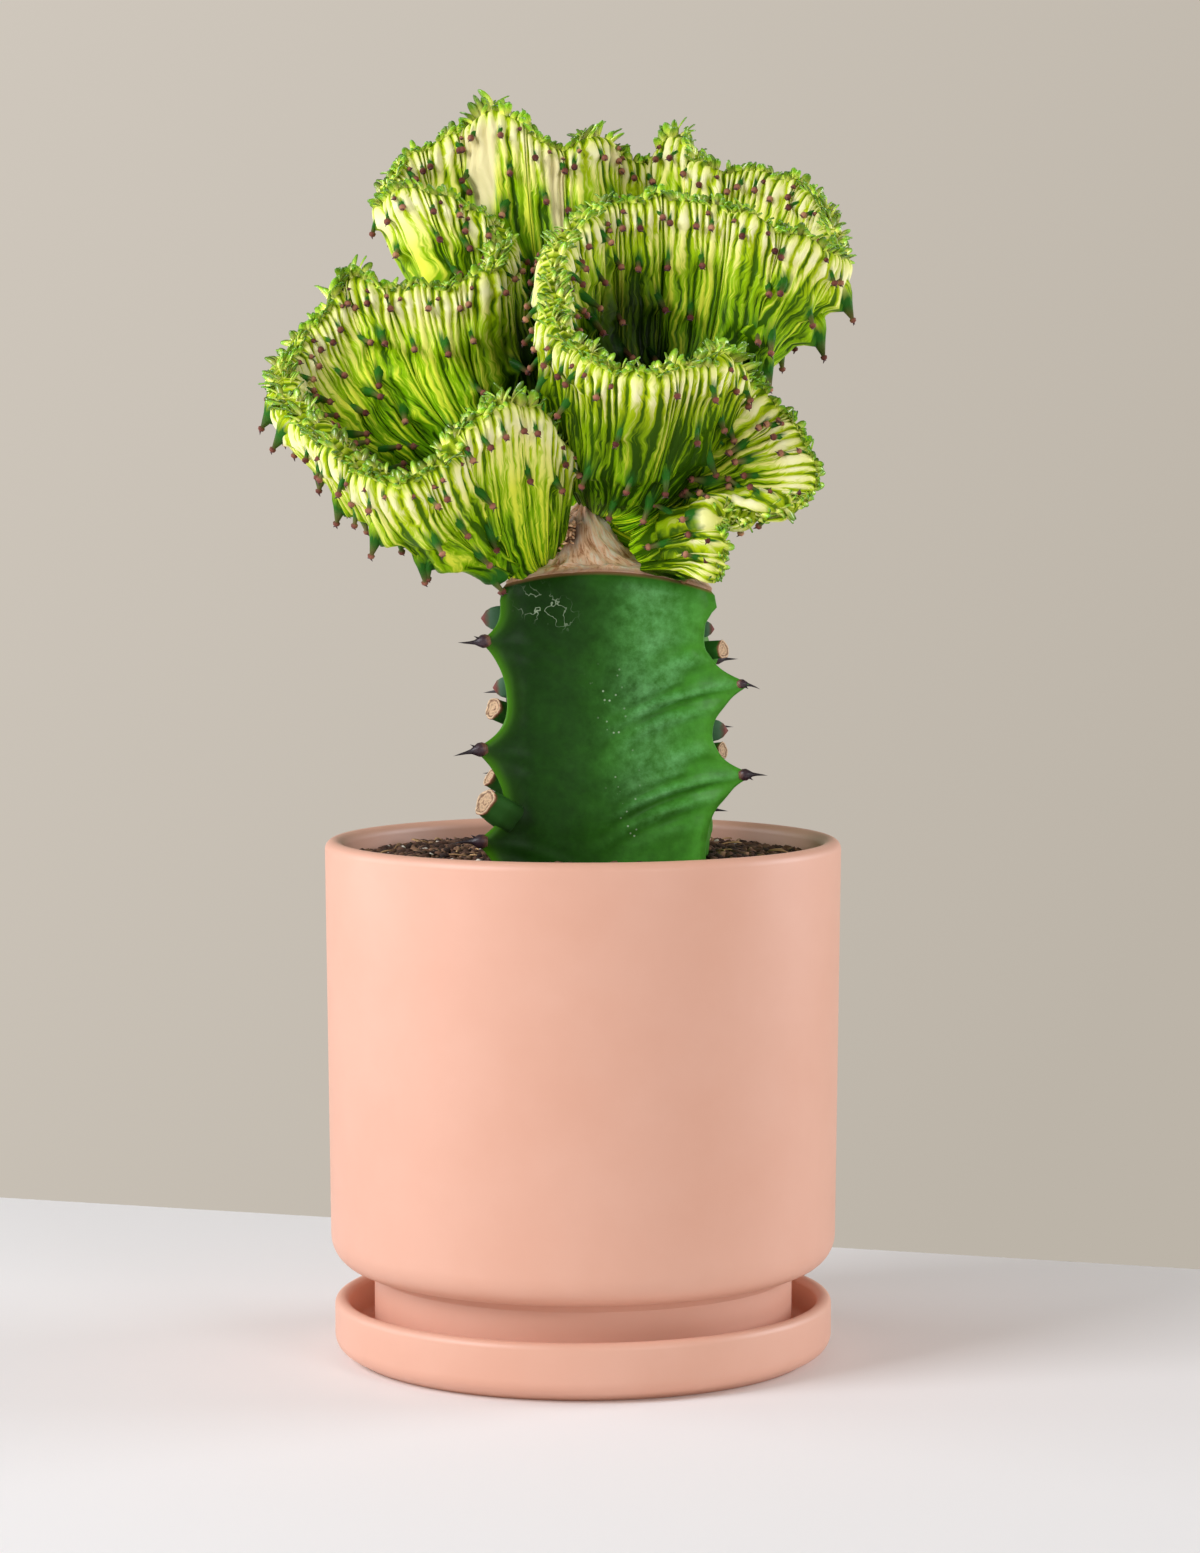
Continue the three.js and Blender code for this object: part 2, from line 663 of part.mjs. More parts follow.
// Hooked teeth in rows across the ribs, on both faces, pointing out and back to the neck.
function crestTeeth() {
  const random = seeded(23);
  const teeth = [];
  for (const face of [-1, 1]) {
    for (const { below, every, first } of TOOTH_ROWS) {
      for (let k = first; k < RIB_COUNT; k += every) {
        const u = (k + 0.5) / RIB_COUNT;
        const v = 1 - (below + 3 * (random() - 0.5)) / crestFrame(u, 1).length;
        const size = 0.85 + 0.35 * random();
        if (v < LOWEST_TOOTH) continue;
        const f = crestFrame(u, v);
        const out = f.normal.clone().multiplyScalar(face);
        const foot = f.at.clone().addScaledVector(out, halfThickness(v) * 0.5);
        const aim = out
          .clone()
          .multiplyScalar(TOOTH_HEIGHT * size + halfThickness(v) * 0.6)
          .addScaledVector(f.along, -TOOTH_HOOK * size);
        const length = aim.length();
        const wide = TOOTH_HALF_WIDTH * size;
        teeth.push(spike(foot, aim.normalize(), length, wide, TOOTH_HALF_LENGTH * size, f.across));
      }
    }
  }
  return teeth;
}

// Small leaves along the edge, leaning by turns to either face.
function crestFrill() {
  const random = seeded(41);
  const count = Math.round(CREST_LENGTH / FRILL_STEP);
  return Array.from({ length: count }, (_, i) => {
    const f = crestFrame((i + 0.3 + 0.4 * random()) / count, 1);
    const lean = (i % 2 ? 1 : -1) * (0.25 + 0.55 * random());
    const aim = f.along
      .clone()
      .addScaledVector(f.normal, lean)
      .addScaledVector(f.across, 0.7 * (random() - 0.5))
      .normalize();
    const foot = f.at.clone().addScaledVector(f.along, -LEAF_ROOT).addScaledVector(f.normal, lean * 2);
    const length = LEAF_ROOT + LEAF_LENGTH * (0.7 + 0.7 * random());
    return spike(foot, aim, length, LEAF_HALF_WIDTH, LEAF_HALF_THICKNESS, f.across);
  });
}

// The fleshy arm from the neck to the foot of the lowest lobes.
function lobeStem() {
  const rings = LOBE_STEM.map(({ at, radius, height }) =>
    Array.from({ length: 10 }, (_, i) => {
      const a = (i / 10) * 2 * Math.PI;
      return new THREE.Vector3(
        at[0],
        at[1] - radius * Math.cos(a),
        at[2] + height * Math.sin(a),
      );
    }),
  );
  return loft(rings.reverse());
}

function crest() {
  const ribs = Array.from({ length: RIB_COUNT }, (_, k) => rib(k));
  const grown = wasm.Manifold.union([core(), lobeStem(), ...ribs, ...crestTeeth(), ...crestFrill()]);
  const seated = grown.subtract(mound(GAP)).subtract(stockBody(GAP));
  return tidy(seated.add(neck()));
}

function finish(name, solid, material) {
  const made = solid.getMesh();
  const count = made.numProp;
  const position = [];
  for (const k of made.triVerts) {
    for (let c = 0; c < 3; c++) position.push(made.vertProperties[k * count + c]);
  }
  const geometry = new THREE.BufferGeometry();
  geometry.setAttribute("position", new THREE.Float32BufferAttribute(position, 3));
  geometry.computeVertexNormals();
  const mesh = new THREE.Mesh(geometry, new THREE.MeshStandardMaterial(material));
  mesh.name = name;
  return mesh;
}

const group = new THREE.Group();
group.name = "potted_crested_cactus";
group.add(
  finish("saucer", saucer(), { color: 0xf1cdb9, roughness: 0.45, metalness: 0 }),
  finish("pot", pot(), { color: 0xedbfa6, roughness: 0.45, metalness: 0 }),
  finish("soil", soil(), { color: 0x3a2618, roughness: 0.95, metalness: 0 }),
  finish("rootstock", rootstock(), { color: 0x2f7a2c, roughness: 0.5, metalness: 0 }),
  finish("graft_callus", graftCallus(), { color: 0xc9915f, roughness: 0.85, metalness: 0 }),
  finish("crest", crest(), { color: 0x8ab43a, roughness: 0.55, metalness: 0 }),
);

export default group;
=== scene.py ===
"""The looks of a potted, grafted crested euphorbia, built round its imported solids."""

import logging
import math
from collections.abc import Callable
from dataclasses import dataclass, field
from enum import Enum
from functools import cache, partial

import bmesh
import bpy
import numpy as np
from bpy.types import Material, NodeSocket, NodeTree, Object
from mathutils import Matrix, Vector, noise


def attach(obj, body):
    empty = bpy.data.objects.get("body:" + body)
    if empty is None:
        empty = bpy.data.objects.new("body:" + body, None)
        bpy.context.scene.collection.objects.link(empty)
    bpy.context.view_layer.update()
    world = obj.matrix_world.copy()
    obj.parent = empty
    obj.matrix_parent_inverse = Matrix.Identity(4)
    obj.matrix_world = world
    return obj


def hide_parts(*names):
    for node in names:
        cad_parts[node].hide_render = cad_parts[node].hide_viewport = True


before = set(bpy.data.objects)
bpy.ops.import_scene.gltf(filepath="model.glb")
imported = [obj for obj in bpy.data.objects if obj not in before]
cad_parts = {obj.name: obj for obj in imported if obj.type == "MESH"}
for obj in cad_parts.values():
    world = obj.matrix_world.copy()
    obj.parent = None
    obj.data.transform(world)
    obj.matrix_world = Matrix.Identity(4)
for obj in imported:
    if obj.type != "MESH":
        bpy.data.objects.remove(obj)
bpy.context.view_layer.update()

log = logging.getLogger("potted_crest")

MM = 0.001
BODY = "root"
PHOTO_HEIGHT_PX = 1553
FILM_MM = 36
FULL_TURN = 2 * math.pi
ACROSS, BACK, UP = np.eye(3)
SCALED = {"operation": "MULTIPLY_ADD"}
COLOURS = {"out": 2, "data_type": "RGBA"}
Add = Callable[..., NodeSocket]
Pattern = tuple[NodeSocket, NodeSocket]


def linear(colour: str) -> tuple[float, float, float, float]:
    """Turn an sRGB hex colour into linear light.

    Args:
        colour: The colour as #rrggbb.

    Returns:
        Red, green, blue and alpha 1.
    """
    parts = [int(colour[i:i + 2], 16) / 255 for i in (1, 3, 5)]
    light = [c / 12.92 if c <= 0.04045 else ((c + 0.055) / 1.055) ** 2.4 for c in parts]
    return (light[0], light[1], light[2], 1.0)


def add_node(tree: NodeTree, kind: str, inputs: dict | None = None, stops: tuple = (),
             out: int | str = 0, **settings) -> NodeSocket:
    """Add one shader node.

    Args:
        tree: The node tree it goes into.
        kind: The node's type name, after the word ShaderNode.
        inputs: Socket name or number to a value, or to the output socket that feeds it.
        stops: Positions and hex colours of a colour ramp.
        out: Name or number of the output that is wanted.
        **settings: Properties of the node itself.

    Returns:
        That output of the new node.
    """
    node = tree.nodes.new("ShaderNode" + kind)
    for key, value in settings.items():
        setattr(node, key, value)
    for number, (place, tone) in enumerate(stops):
        elements = node.color_ramp.elements
        element = elements[number] if number < 2 else elements.new(place)
        element.position = place
        element.color = linear(tone)
    for key, value in (inputs or {}).items():
        if isinstance(value, NodeSocket):
            tree.links.new(value, node.inputs[key])
        else:
            node.inputs[key].default_value = value
    return node.outputs[out]


def smoothstep(low: float, high: float, x: np.ndarray) -> np.ndarray:
    """Rise smoothly from 0 at low to 1 at high."""
    t = np.clip((x - low) / (high - low), 0, 1)
    return t * t * (3 - 2 * t)


def unit(vectors: np.ndarray) -> np.ndarray:
    """Scale vectors along the last axis to length 1."""
    return vectors / np.maximum(np.linalg.norm(vectors, axis=-1, keepdims=True), 1e-9)


def turns(count: int) -> np.ndarray:
    """Equally spaced angles round a full turn."""
    return np.arange(count) / count * FULL_TURN


def hoop(centre: np.ndarray, side: np.ndarray, other: np.ndarray, turn: np.ndarray) -> np.ndarray:
    """Points round a centre; side and other hold the half axis there, one for all points or one each."""
    return centre + np.cos(turn)[:, None] * side + np.sin(turn)[:, None] * other


def place_piece(piece: Object, slot: str, material: Material, *nodes: str) -> None:
    """Dress a finished piece, tie it to the frame and report it.

    Args:
        piece: The object, already in place.
        slot: The record's material slot; not used.
        material: Its material.
        *nodes: CAD nodes that the piece stands for.
    """
    piece.data.materials.clear()
    piece.data.materials.append(material)
    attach(piece, BODY)
    if nodes:
        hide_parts(*nodes)
    log.info("%s: %d faces", piece.name, len(piece.data.polygons))


def new_piece(name: str, points: np.ndarray, faces: list, marks: dict[str, np.ndarray] | None = None,
              uv: np.ndarray | None = None) -> Object:
    """Make a mesh object from points in millimetres.

    Args:
        name: The piece's name.
        points: One row per vertex.
        faces: Corner lists, seen from outside.
        marks: Named values per vertex.
        uv: A pair per vertex, kept as the piece's own map.

    Returns:
        The object, linked to the scene and shaded smooth.
    """
    mesh = bpy.data.meshes.new(name)
    mesh.from_pydata((points * MM).tolist(), [], faces)
    mesh.update()
    for key, values in (marks or {}).items():
        layer = mesh.attributes.new(key, "FLOAT", "POINT")
        layer.data.foreach_set("value", values.astype(np.float32))
    if uv is not None:
        corners = np.zeros(len(mesh.loops), np.int32)
        mesh.loops.foreach_get("vertex_index", corners)
        layer = mesh.uv_layers.new(name="growth")
        layer.data.foreach_set("uv", uv[corners].astype(np.float32).ravel())
    mesh.shade_smooth()
    piece = bpy.data.objects.new(name, mesh)
    bpy.context.scene.collection.objects.link(piece)
    return piece


@cache
def tube_faces(rings: int, sides: int) -> list:
    """Faces of a closed tube: rings of points, then a first and a last point.

    Args:
        rings: How many rings.
        sides: Points in each.

    Returns:
        Corner lists.
    """
    faces = []
    first, last, top = rings * sides, rings * sides + 1, (rings - 1) * sides
    for j in range(rings - 1):
        for i in range(sides):
            k = (i + 1) % sides
            faces.append([j * sides + i, j * sides + k, (j + 1) * sides + k, (j + 1) * sides + i])
    for i in range(sides):
        k = (i + 1) % sides
        faces += [[first, k, i], [last, top + i, top + k]]
    return faces


def horn(path: np.ndarray, widths: np.ndarray, depths: np.ndarray, side: np.ndarray,
         sides: int) -> tuple[np.ndarray, np.ndarray]:
    """Points of a bent, tapering body round a path.

    Args:
        path: Points along its middle.
        widths: Half widths along side, one for each path point but the last.
        depths: Half depths across it.
        side: The sideways direction.
        sides: Points round each ring.

    Returns:
        The points, for tube_faces with len(path) - 1 rings, and their share of the way to the tip.
    """
    heading = unit(np.gradient(path, axis=0))
    across = unit(side - heading * (heading @ side)[:, None])
    other = np.cross(heading, across)
    count = len(path) - 1
    rings = [hoop(path[j], widths[j] * across[j], depths[j] * other[j], turns(sides)) for j in range(count)]
    share = np.concatenate([np.repeat(np.arange(count) / count, sides), [0, 1]])
    return np.concatenate([*rings, path[:1], path[-1:]]), share


@dataclass
class Pile:
    """Many small closed shapes gathered in one mesh."""

    points: list = field(default_factory=list)
    shapes: list = field(default_factory=list)
    marks: dict = field(default_factory=dict)
    count: int = 0

    def add(self, points: np.ndarray, faces: list, **marks: np.ndarray) -> None:
        """Add one shape.

        Args:
            points: Its points.
            faces: Its corner lists.
            **marks: Values per vertex, or one for all; u and v give the place on the growth map.
        """
        self.points.append(points)
        self.shapes.append((self.count, faces))
        for key, values in marks.items():
            self.marks.setdefault(key, []).append(np.broadcast_to(values, (len(points),)))
        self.count += len(points)

    def add_horn(self, path: np.ndarray, widths: np.ndarray, depths: np.ndarray, side: np.ndarray,
                 sides: int, tone: float, start: float = 0.0) -> None:
        """Add one horn that changes colour along its way.

        Args:
            path: Points along its middle.
            widths: Half widths along side, one for each path point but the last.
            depths: Half depths across it.
            side: The sideways direction.
            sides: Points round each ring.
            tone: Its own shade, 0 to 1.
            start: Where its colours start.
        """
        points, share = horn(path, widths, depths, side, sides)
        self.add(points, tube_faces(len(path) - 1, sides), along=start + (1 - start) * share, tone=tone)

    def piece(self, name: str) -> Object:
        """Make the object.

        Args:
            name: Its name.

        Returns:
            The object, with all its shapes and their marks.
        """
        marks = {key: np.concatenate(values) for key, values in self.marks.items()}
        uv = np.stack([marks.pop("u"), marks.pop("v")], 1) if "u" in marks else None
        faces = [[k + start for k in face] for start, shape in self.shapes for face in shape]
        return new_piece(name, np.concatenate(self.points), faces, marks, uv)


@dataclass(frozen=True)
class Finish:
    """What every finish of the object states: its name, how it takes light, and how deep its relief
    is. A finish draws its own pattern."""

    name: str
    roughness: float = 0.5
    gloss: float = 0.5
    ior: float = 1.5
    relief: float = 1.0
    relief_mm: float = 1.0

    def material(self) -> Material:
        """Build the material.

        Returns:
            The material.
        """
        made = bpy.data.materials.new(self.name)
        made.use_nodes = True
        tree = made.node_tree
        shader = tree.nodes["Principled BSDF"]
        colour, height = self.pattern(partial(add_node, tree))
        raised = {"Height": height, "Strength": self.relief, "Distance": self.relief_mm * MM}
        tree.links.new(colour, shader.inputs["Base Color"])
        tree.links.new(add_node(tree, "Bump", raised), shader.inputs["Normal"])
        shader.inputs["Roughness"].default_value = self.roughness
        shader.inputs["Specular IOR Level"].default_value = self.gloss
        shader.inputs["IOR"].default_value = self.ior
        return made


@dataclass(frozen=True)
class GlazedCeramic(Finish):
    """Stoneware under a peach satin-matte glaze: an even body colour, soft wide highlights, and only
    the faintest mottling."""

    roughness: float = 0.46
    ior: float = 1.6
    relief: float = 0.03
    relief_mm: float = 0.2
    colour: str = "#e3ae97"
    deep: str = "#e0a991"
    mottle_mm: float = 34.0
    orange_peel_mm: float = 1.6

    def pattern(self, add: Add) -> Pattern:
        """Mottle the glaze and give it a fine orange peel.

        Args:
            add: Adds a node to the material.

        Returns:
            Colour and height.
        """
        place = add("TexCoord", out="Object")
        mottle = add("TexNoise", {"Vector": place, "Scale": 1000 / self.mottle_mm, "Detail": 4.0,
                                  "Roughness": 0.6})
        peel = add("TexNoise", {"Vector": place, "Scale": 1000 / self.orange_peel_mm, "Detail": 2.0})
        return add("ValToRGB", {"Fac": mottle}, ((0.35, self.deep), (0.65, self.colour))), peel


@dataclass(frozen=True)
class CrestSkin(Finish):
    """Living variegated skin of the crest: pale pleats at the growing edge, fine dark green streaks
    along the ribs, deeper green low down, blue-green wedges above the teeth, painted shade in the clefts
    between the lobes, painted light in a few bright places, and a waxy gloss."""

    name: str = "variegated_succulent_skin"
    roughness: float = 0.34
    gloss: float = 0.06
    relief: float = 0.7
    relief_mm: float = 0.35
    fine_mm: tuple = (0.85, 16.0)
    coarse_mm: tuple = (1.9, 36.0)
    patch_mm: tuple = (14.0, 25.2)
    wander: tuple = ((0.05, 1.0, 6.0), (0.17, 2.0, 3.4))
    contrast: float = 2.6
    patchiness: float = 0.36
    depth_mm: float = 110.0
    dark: tuple = ((0.0, "#5c7c0c"), (0.06, "#527808"), (0.14, "#426a06"), (0.3, "#2c5004"), (0.5, "#1e3c04"),
                   (0.8, "#132c04"), (1.0, "#0f2606"))
    middle: tuple = ((0.0, "#b0ca14"), (0.06, "#c6da18"), (0.14, "#a2ca0c"), (0.3, "#7eb408"),
                     (0.5, "#5e9a08"), (0.8, "#487c06"), (1.0, "#386608"))
    light: tuple = ((0.0, "#f0f27c"), (0.05, "#fffcc4"), (0.1, "#fdfa94"), (0.2, "#eef450"), (0.4, "#d6ec2a"),
                    (0.7, "#b8d81e"), (1.0, "#8eb616"))
    claw: str = "#2e6a20"
    sector: str = "#f1e6ac"
    horny: tuple = ((0.35, "#5c302c"), (0.5, "#8c5648"), (0.68, "#bc8868"))
    horny_mm: float = 7.0
    middle_from: tuple = (0.22, 0.46)
    light_from: tuple = (0.52, 0.76)
    claw_from: tuple = (0.35, 0.85)
    raggedness: float = 0.9
    # The skin's value where the most light, and where the most shade, is painted.
    brightest: float = 1.92
    darkest: float = 0.08

    def pattern(self, add: Add) -> Pattern:
        """Draw streaks of three tones along the growth, then wedges, cream sectors, knobs, and the painted
        shade and painted light.

        Args:
            add: Adds a node to the material.

        Returns:
            Colour and height.
        """
        flat = add("UVMap", uv_map="growth")
        growth = flat
        for scale, detail, push in self.wander:
            drift = add("TexNoise", {"Vector": flat, "Scale": scale, "Detail": detail}, out="Color")
            pushed = add("VectorMath", {0: drift, 1: (push, 0.0, 0.0)}, operation="MULTIPLY")
            growth = add("VectorMath", {0: growth, 1: pushed}, operation="ADD")
        streaks = []
        for width, length in (self.fine_mm, self.coarse_mm, self.patch_mm):
            drawn = add("VectorMath", {0: growth, 1: (1 / width, 1 / length, 1.0)}, operation="MULTIPLY")
            streaks.append(add("TexNoise", {"Vector": drawn, "Scale": 1.0, "Detail": 3.0, "Roughness": 0.65}))
        both = add("Mix", {0: 0.5, 2: streaks[0], 3: streaks[1]})
        bold = add("Math", {0: both, 1: self.contrast, 2: 0.5 - 0.5 * self.contrast}, **SCALED)
        patched = add("Math", {0: streaks[2], 1: self.patchiness, 2: -self.patchiness / 2}, **SCALED)
        leaned = add("Math", {0: bold, 1: patched}, operation="ADD")
        edge, pale, wedge, cream, knob, gloom = (
            add("Attribute", attribute_name=name, out="Fac")
            for name in ("edge_mm", "pale", "tooth", "cream", "knob", "gloom"))
        share = add("Math", {0: leaned, 1: pale}, operation="ADD")
        depth = add("MapRange", {"Value": edge, "From Max": self.depth_mm})
        dark, middle, light = (add("ValToRGB", {"Fac": depth}, tones)
                               for tones in (self.dark, self.middle, self.light))
        torn = add("Math", {0: bold, 1: self.raggedness, 2: -self.raggedness / 2}, **SCALED)
        ragged = add("Math", {0: wedge, 1: torn}, operation="ADD")
        low, high, clawed = (add("MapRange", {"Value": value, "From Min": start, "From Max": stop})
                             for value, (start, stop) in ((share, self.middle_from), (share, self.light_from),
                                                          (ragged, self.claw_from)))
        skin = add("Mix", {0: low, 6: dark, 7: middle}, **COLOURS)
        skin = add("Mix", {0: high, 6: skin, 7: light}, **COLOURS)
        for part, tone in ((clawed, self.claw), (cream, self.sector)):
            skin = add("Mix", {0: part, 6: skin, 7: linear(tone)}, **COLOURS)
        # Painted shade and painted light: the cleft mark darkens the skin, and brightens it where it is below
        # 0.
        sunk = add("MapRange", {"Value": gloom, "From Min": -1.0, "To Min": self.brightest,
                                "To Max": self.darkest})
        skin = add("HueSaturation", {"Color": skin, "Value": sunk})
        place = add("TexCoord", out="Object")
        varied = add("TexNoise", {"Vector": place, "Scale": 1000 / self.horny_mm, "Detail": 1.0})
        horny = add("ValToRGB", {"Fac": varied}, self.horny)
        return add("Mix", {0: knob, 6: skin, 7: horny}, **COLOURS), bold


@dataclass(frozen=True)
class GradedTissue(Finish):
    """Plant or horn tissue that changes colour from its root to its tip, with a shade of its own on
    every small shape and a fine grain."""

    relief_mm: float = 0.25
    stops: tuple = ()
    spread: float = 0.5
    grain_mm: float = 0.9
    relief: float = 0.3

    def pattern(self, add: Add) -> Pattern:
        """Grade the colour along each shape, and break it with the grain.

        Args:
            add: Adds a node to the material.

        Returns:
            Colour and height.
        """
        along, tone = (add("Attribute", attribute_name=name, out="Fac") for name in ("along", "tone"))
        place = add("TexCoord", out="Object")
        grain = add("TexNoise", {"Vector": place, "Scale": 1000 / self.grain_mm, "Detail": 3.0,
                                 "Roughness": 0.6})
        shift = add("Math", {0: grain, 1: self.relief, 2: -self.relief / 2}, **SCALED)
        spot = add("Math", {0: along, 1: shift}, operation="ADD")
        value = add("MapRange", {"Value": tone, "To Min": 1 - self.spread, "To Max": 1 + self.spread})
        graded = add("ValToRGB", {"Fac": spot}, self.stops)
        return add("HueSaturation", {"Color": graded, "Value": value}), grain


@dataclass(frozen=True)
class StockSkin(Finish):
    """Thick waxy skin of the rootstock: deep green, with painted shade on its left half and painted light
    on its right, a painted sheen on the right of the front face and on the raised folds, brighter green
    along the wings with painted light on the left front wing's edge, a few pale scratches and specks,
    cork at the cut."""

    name: str = "waxy_green_stem_skin"
    roughness: float = 0.38
    gloss: float = 0.12
    relief: float = 0.3
    relief_mm: float = 0.2
    soft_mm: float = 17.0
    vein_mm: float = 3.2
    speck_mm: float = 2.2
    scratch_mm: float = 3.4
    shaded_to_lit_greens: tuple = ((0.0, "#173a0b"), (0.3, "#1d450e"), (0.55, "#285a15"), (0.8, "#3a7a24"),
                     (1.0, "#418628"))
    painted_sheen_tone: str = "#67a866"
    wing: str = "#4f8f14"
    mark: str = "#b9cfae"
    cork: str = "#9a6c50"

    def pattern(self, add: Add) -> Pattern:
        """Blend the green across the stem, from painted shade on the left to painted light on the right, then
        the painted sheen, flecks, wing edges, scars and cork.

        Args:
            add: Adds a node to the material.

        Returns:
            Colour and height.
        """
        place = add("TexCoord", out="Object")
        painted_sheen, edge, trail, scar, cork = (add("Attribute", attribute_name=name, out="Fac")
                                          for name in ("painted_sheen", "edge", "specks", "scratch", "cork"))
        x = add("SeparateXYZ", {0: place})
        # Painted shade on the left half and painted light on the right: the green lightens with x across the
        # stem.
        across = add("MapRange", {"Value": x, "From Min": -14 * MM, "From Max": 26 * MM})
        soft = add("TexNoise", {"Vector": place, "Scale": 1000 / self.soft_mm, "Detail": 4.0})
        blend = add("Math", {0: soft, 1: 0.8, 2: -0.4}, **SCALED)
        share = add("Math", {0: across, 1: blend}, operation="ADD", use_clamp=True)
        green = add("ValToRGB", {"Fac": share}, self.shaded_to_lit_greens)
        veins = add("TexNoise", {"Vector": place, "Scale": 1000 / self.vein_mm, "Detail": 6.0,
                                 "Roughness": 0.7})
        cloudy = add("MapRange", {"Value": veins, "From Min": 0.3, "From Max": 0.65})
        # Painted sheen: the highlight tone, mottled by the veins.
        sheen_share = add("Math", {0: painted_sheen, 1: cloudy}, operation="MULTIPLY")
        sheened = add("Mix", {0: sheen_share, 6: green, 7: linear(self.painted_sheen_tone)}, **COLOURS)
        flecks = add("MapRange", {"Value": veins, "From Min": 0.3, "From Max": 0.7, "To Min": 0.78,
                                  "To Max": 1.24})
        skin = add("HueSaturation", {"Color": sheened, "Value": flecks})
        specks = add("TexVoronoi", {"Vector": place, "Scale": 1000 / self.speck_mm}, out="Distance")
        dot = add("MapRange", {"Value": specks, "From Min": 0.16, "From Max": 0.07})
        dotted = add("Math", {0: dot, 1: trail}, operation="MULTIPLY")
        lines = add("TexNoise", {"Vector": place, "Scale": 1000 / self.scratch_mm, "Detail": 2.0})
        off = add("Math", {0: lines, 1: 0.5}, operation="SUBTRACT")
        width = add("Math", {0: off}, operation="ABSOLUTE")
        line = add("MapRange", {"Value": width, "From Min": 0.02, "From Max": 0.004})
        scratched = add("Math", {0: line, 1: scar}, operation="MULTIPLY")
        marks = add("Math", {0: dotted, 1: scratched}, operation="MAXIMUM")
        # Wing edges: brighter green, with painted light along the left front wing's edge.
        for part, tone in ((edge, self.wing), (marks, self.mark), (cork, self.cork)):
            skin = add("Mix", {0: part, 6: skin, 7: linear(tone)}, **COLOURS)
        return skin, veins


@dataclass(frozen=True)
class DryCork(Finish):
    """Healed wound tissue: dry, matt, salmon tan, with fibres that run down from the peak, cracks,
    and a dark crumbly hollow."""

    name: str = "dry_corky_callus"
    roughness: float = 0.8
    gloss: float = 0.25
    tones: tuple = ((0.38, "#c08258"), (0.46, "#ffd0a6"), (0.58, "#fff0d8"))
    hollow: str = "#54301c"
    crust: str = "#a97f66"
    fibre_mm: float = 0.8
    blotch_mm: float = 5.0

    def pattern(self, add: Add) -> Pattern:
        """Run fibres down the mound over blotches, then darken the hollow and the crust.

        Args:
            add: Adds a node to the material.

        Returns:
            Colour and height.
        """
        flat = add("UVMap", uv_map="growth")
        squeeze = (1 / self.fibre_mm, 0.14 / self.fibre_mm, 1)
        drawn = add("VectorMath", {0: flat, 1: squeeze}, operation="MULTIPLY")
        fibres = add("TexNoise", {"Vector": drawn, "Scale": 1.0, "Detail": 5.0, "Roughness": 0.7,
                                  "Distortion": 1.2})
        place = add("TexCoord", out="Object")
        blotch = add("TexNoise", {"Vector": place, "Scale": 1000 / self.blotch_mm, "Detail": 4.0})
        mixed = add("Mix", {0: 0.45, 2: fibres, 3: blotch})
        skin = add("ValToRGB", {"Fac": mixed}, self.tones)
        for name, tone in (("hollow", self.hollow), ("crust", self.crust)):
            share = add("Attribute", attribute_name=name, out="Fac")
            skin = add("Mix", {0: share, 6: skin, 7: linear(tone)}, **COLOURS)
        return skin, mixed


@dataclass(frozen=True)
class PottingSoil(Finish):
    """Peaty potting mix: dark brown crumbs of many shades, quite matt."""

    name: str = "peat_potting_soil"
    roughness: float = 0.95
    relief_mm: float = 1.2
    crumb_mm: float = 2.4
    fine_mm: float = 1.2
    tones: tuple = ((0.25, "#2a1a12"), (0.45, "#4b3226"), (0.62, "#6d4d3a"), (0.75, "#9a7c62"))

    def pattern(self, add: Add) -> Pattern:
        """Mix the crumbs with finer dust.

        Args:
            add: Adds a node to the material.

        Returns:
            Colour and height.
        """
        place = add("TexCoord", out="Object")
        crumbs = add("TexVoronoi", {"Vector": place, "Scale": 1000 / self.crumb_mm}, out="Color")
        fine = add("TexNoise", {"Vector": place, "Scale": 1000 / self.fine_mm, "Detail": 4.0}, out="Color")
        mixed = add("Mix", {0: 0.5, 6: crumbs, 7: fine}, **COLOURS)
        return add("ValToRGB", {"Fac": mixed}, self.tones), mixed


@dataclass(frozen=True)
class StudioPaper:
    """Matt card under the object."""

    name: str
    colour: str
    roughness: float = 0.8
    gloss: float = 0.2

    def material(self) -> Material:
        """Build the material.

        Returns:
            The material.
        """
        made = bpy.data.materials.new(self.name)
        made.use_nodes = True
        shader = made.node_tree.nodes["Principled BSDF"]
        shader.inputs["Base Color"].default_value = linear(self.colour)
        shader.inputs["Roughness"].default_value = self.roughness
        shader.inputs["Specular IOR Level"].default_value = self.gloss
        return made


class Face(Enum):
    """The two faces of the crest's sheet."""

    OUTER = 1
    INNER = -1


@dataclass(frozen=True)
class Gather:
    """How the crest's skin gathers at a tooth of size 1, in millimetres: a hump rises to it from the
    edge's side, the pleats are pulled in, a dark wedge lies above it and painted shade below it."""

    reach: float = 11.0
    rise: float = 8.0
    hump: float = 2.9
    hump_half: float = 2.1
    hump_fall: float = 2.0
    pull: float = 0.55
    pull_half: float = 3.4
    pull_above: float = 7.0
    pull_below: float = 3.5
    wedge: float = 0.95
    wedge_half: float = 0.7
    wedge_flare: float = 0.17
    wedge_fall: float = 1.5
    painted_shade_below: float = 0.18
    painted_shade_half: float = 3.0
    painted_shade_drop: float = 4.0


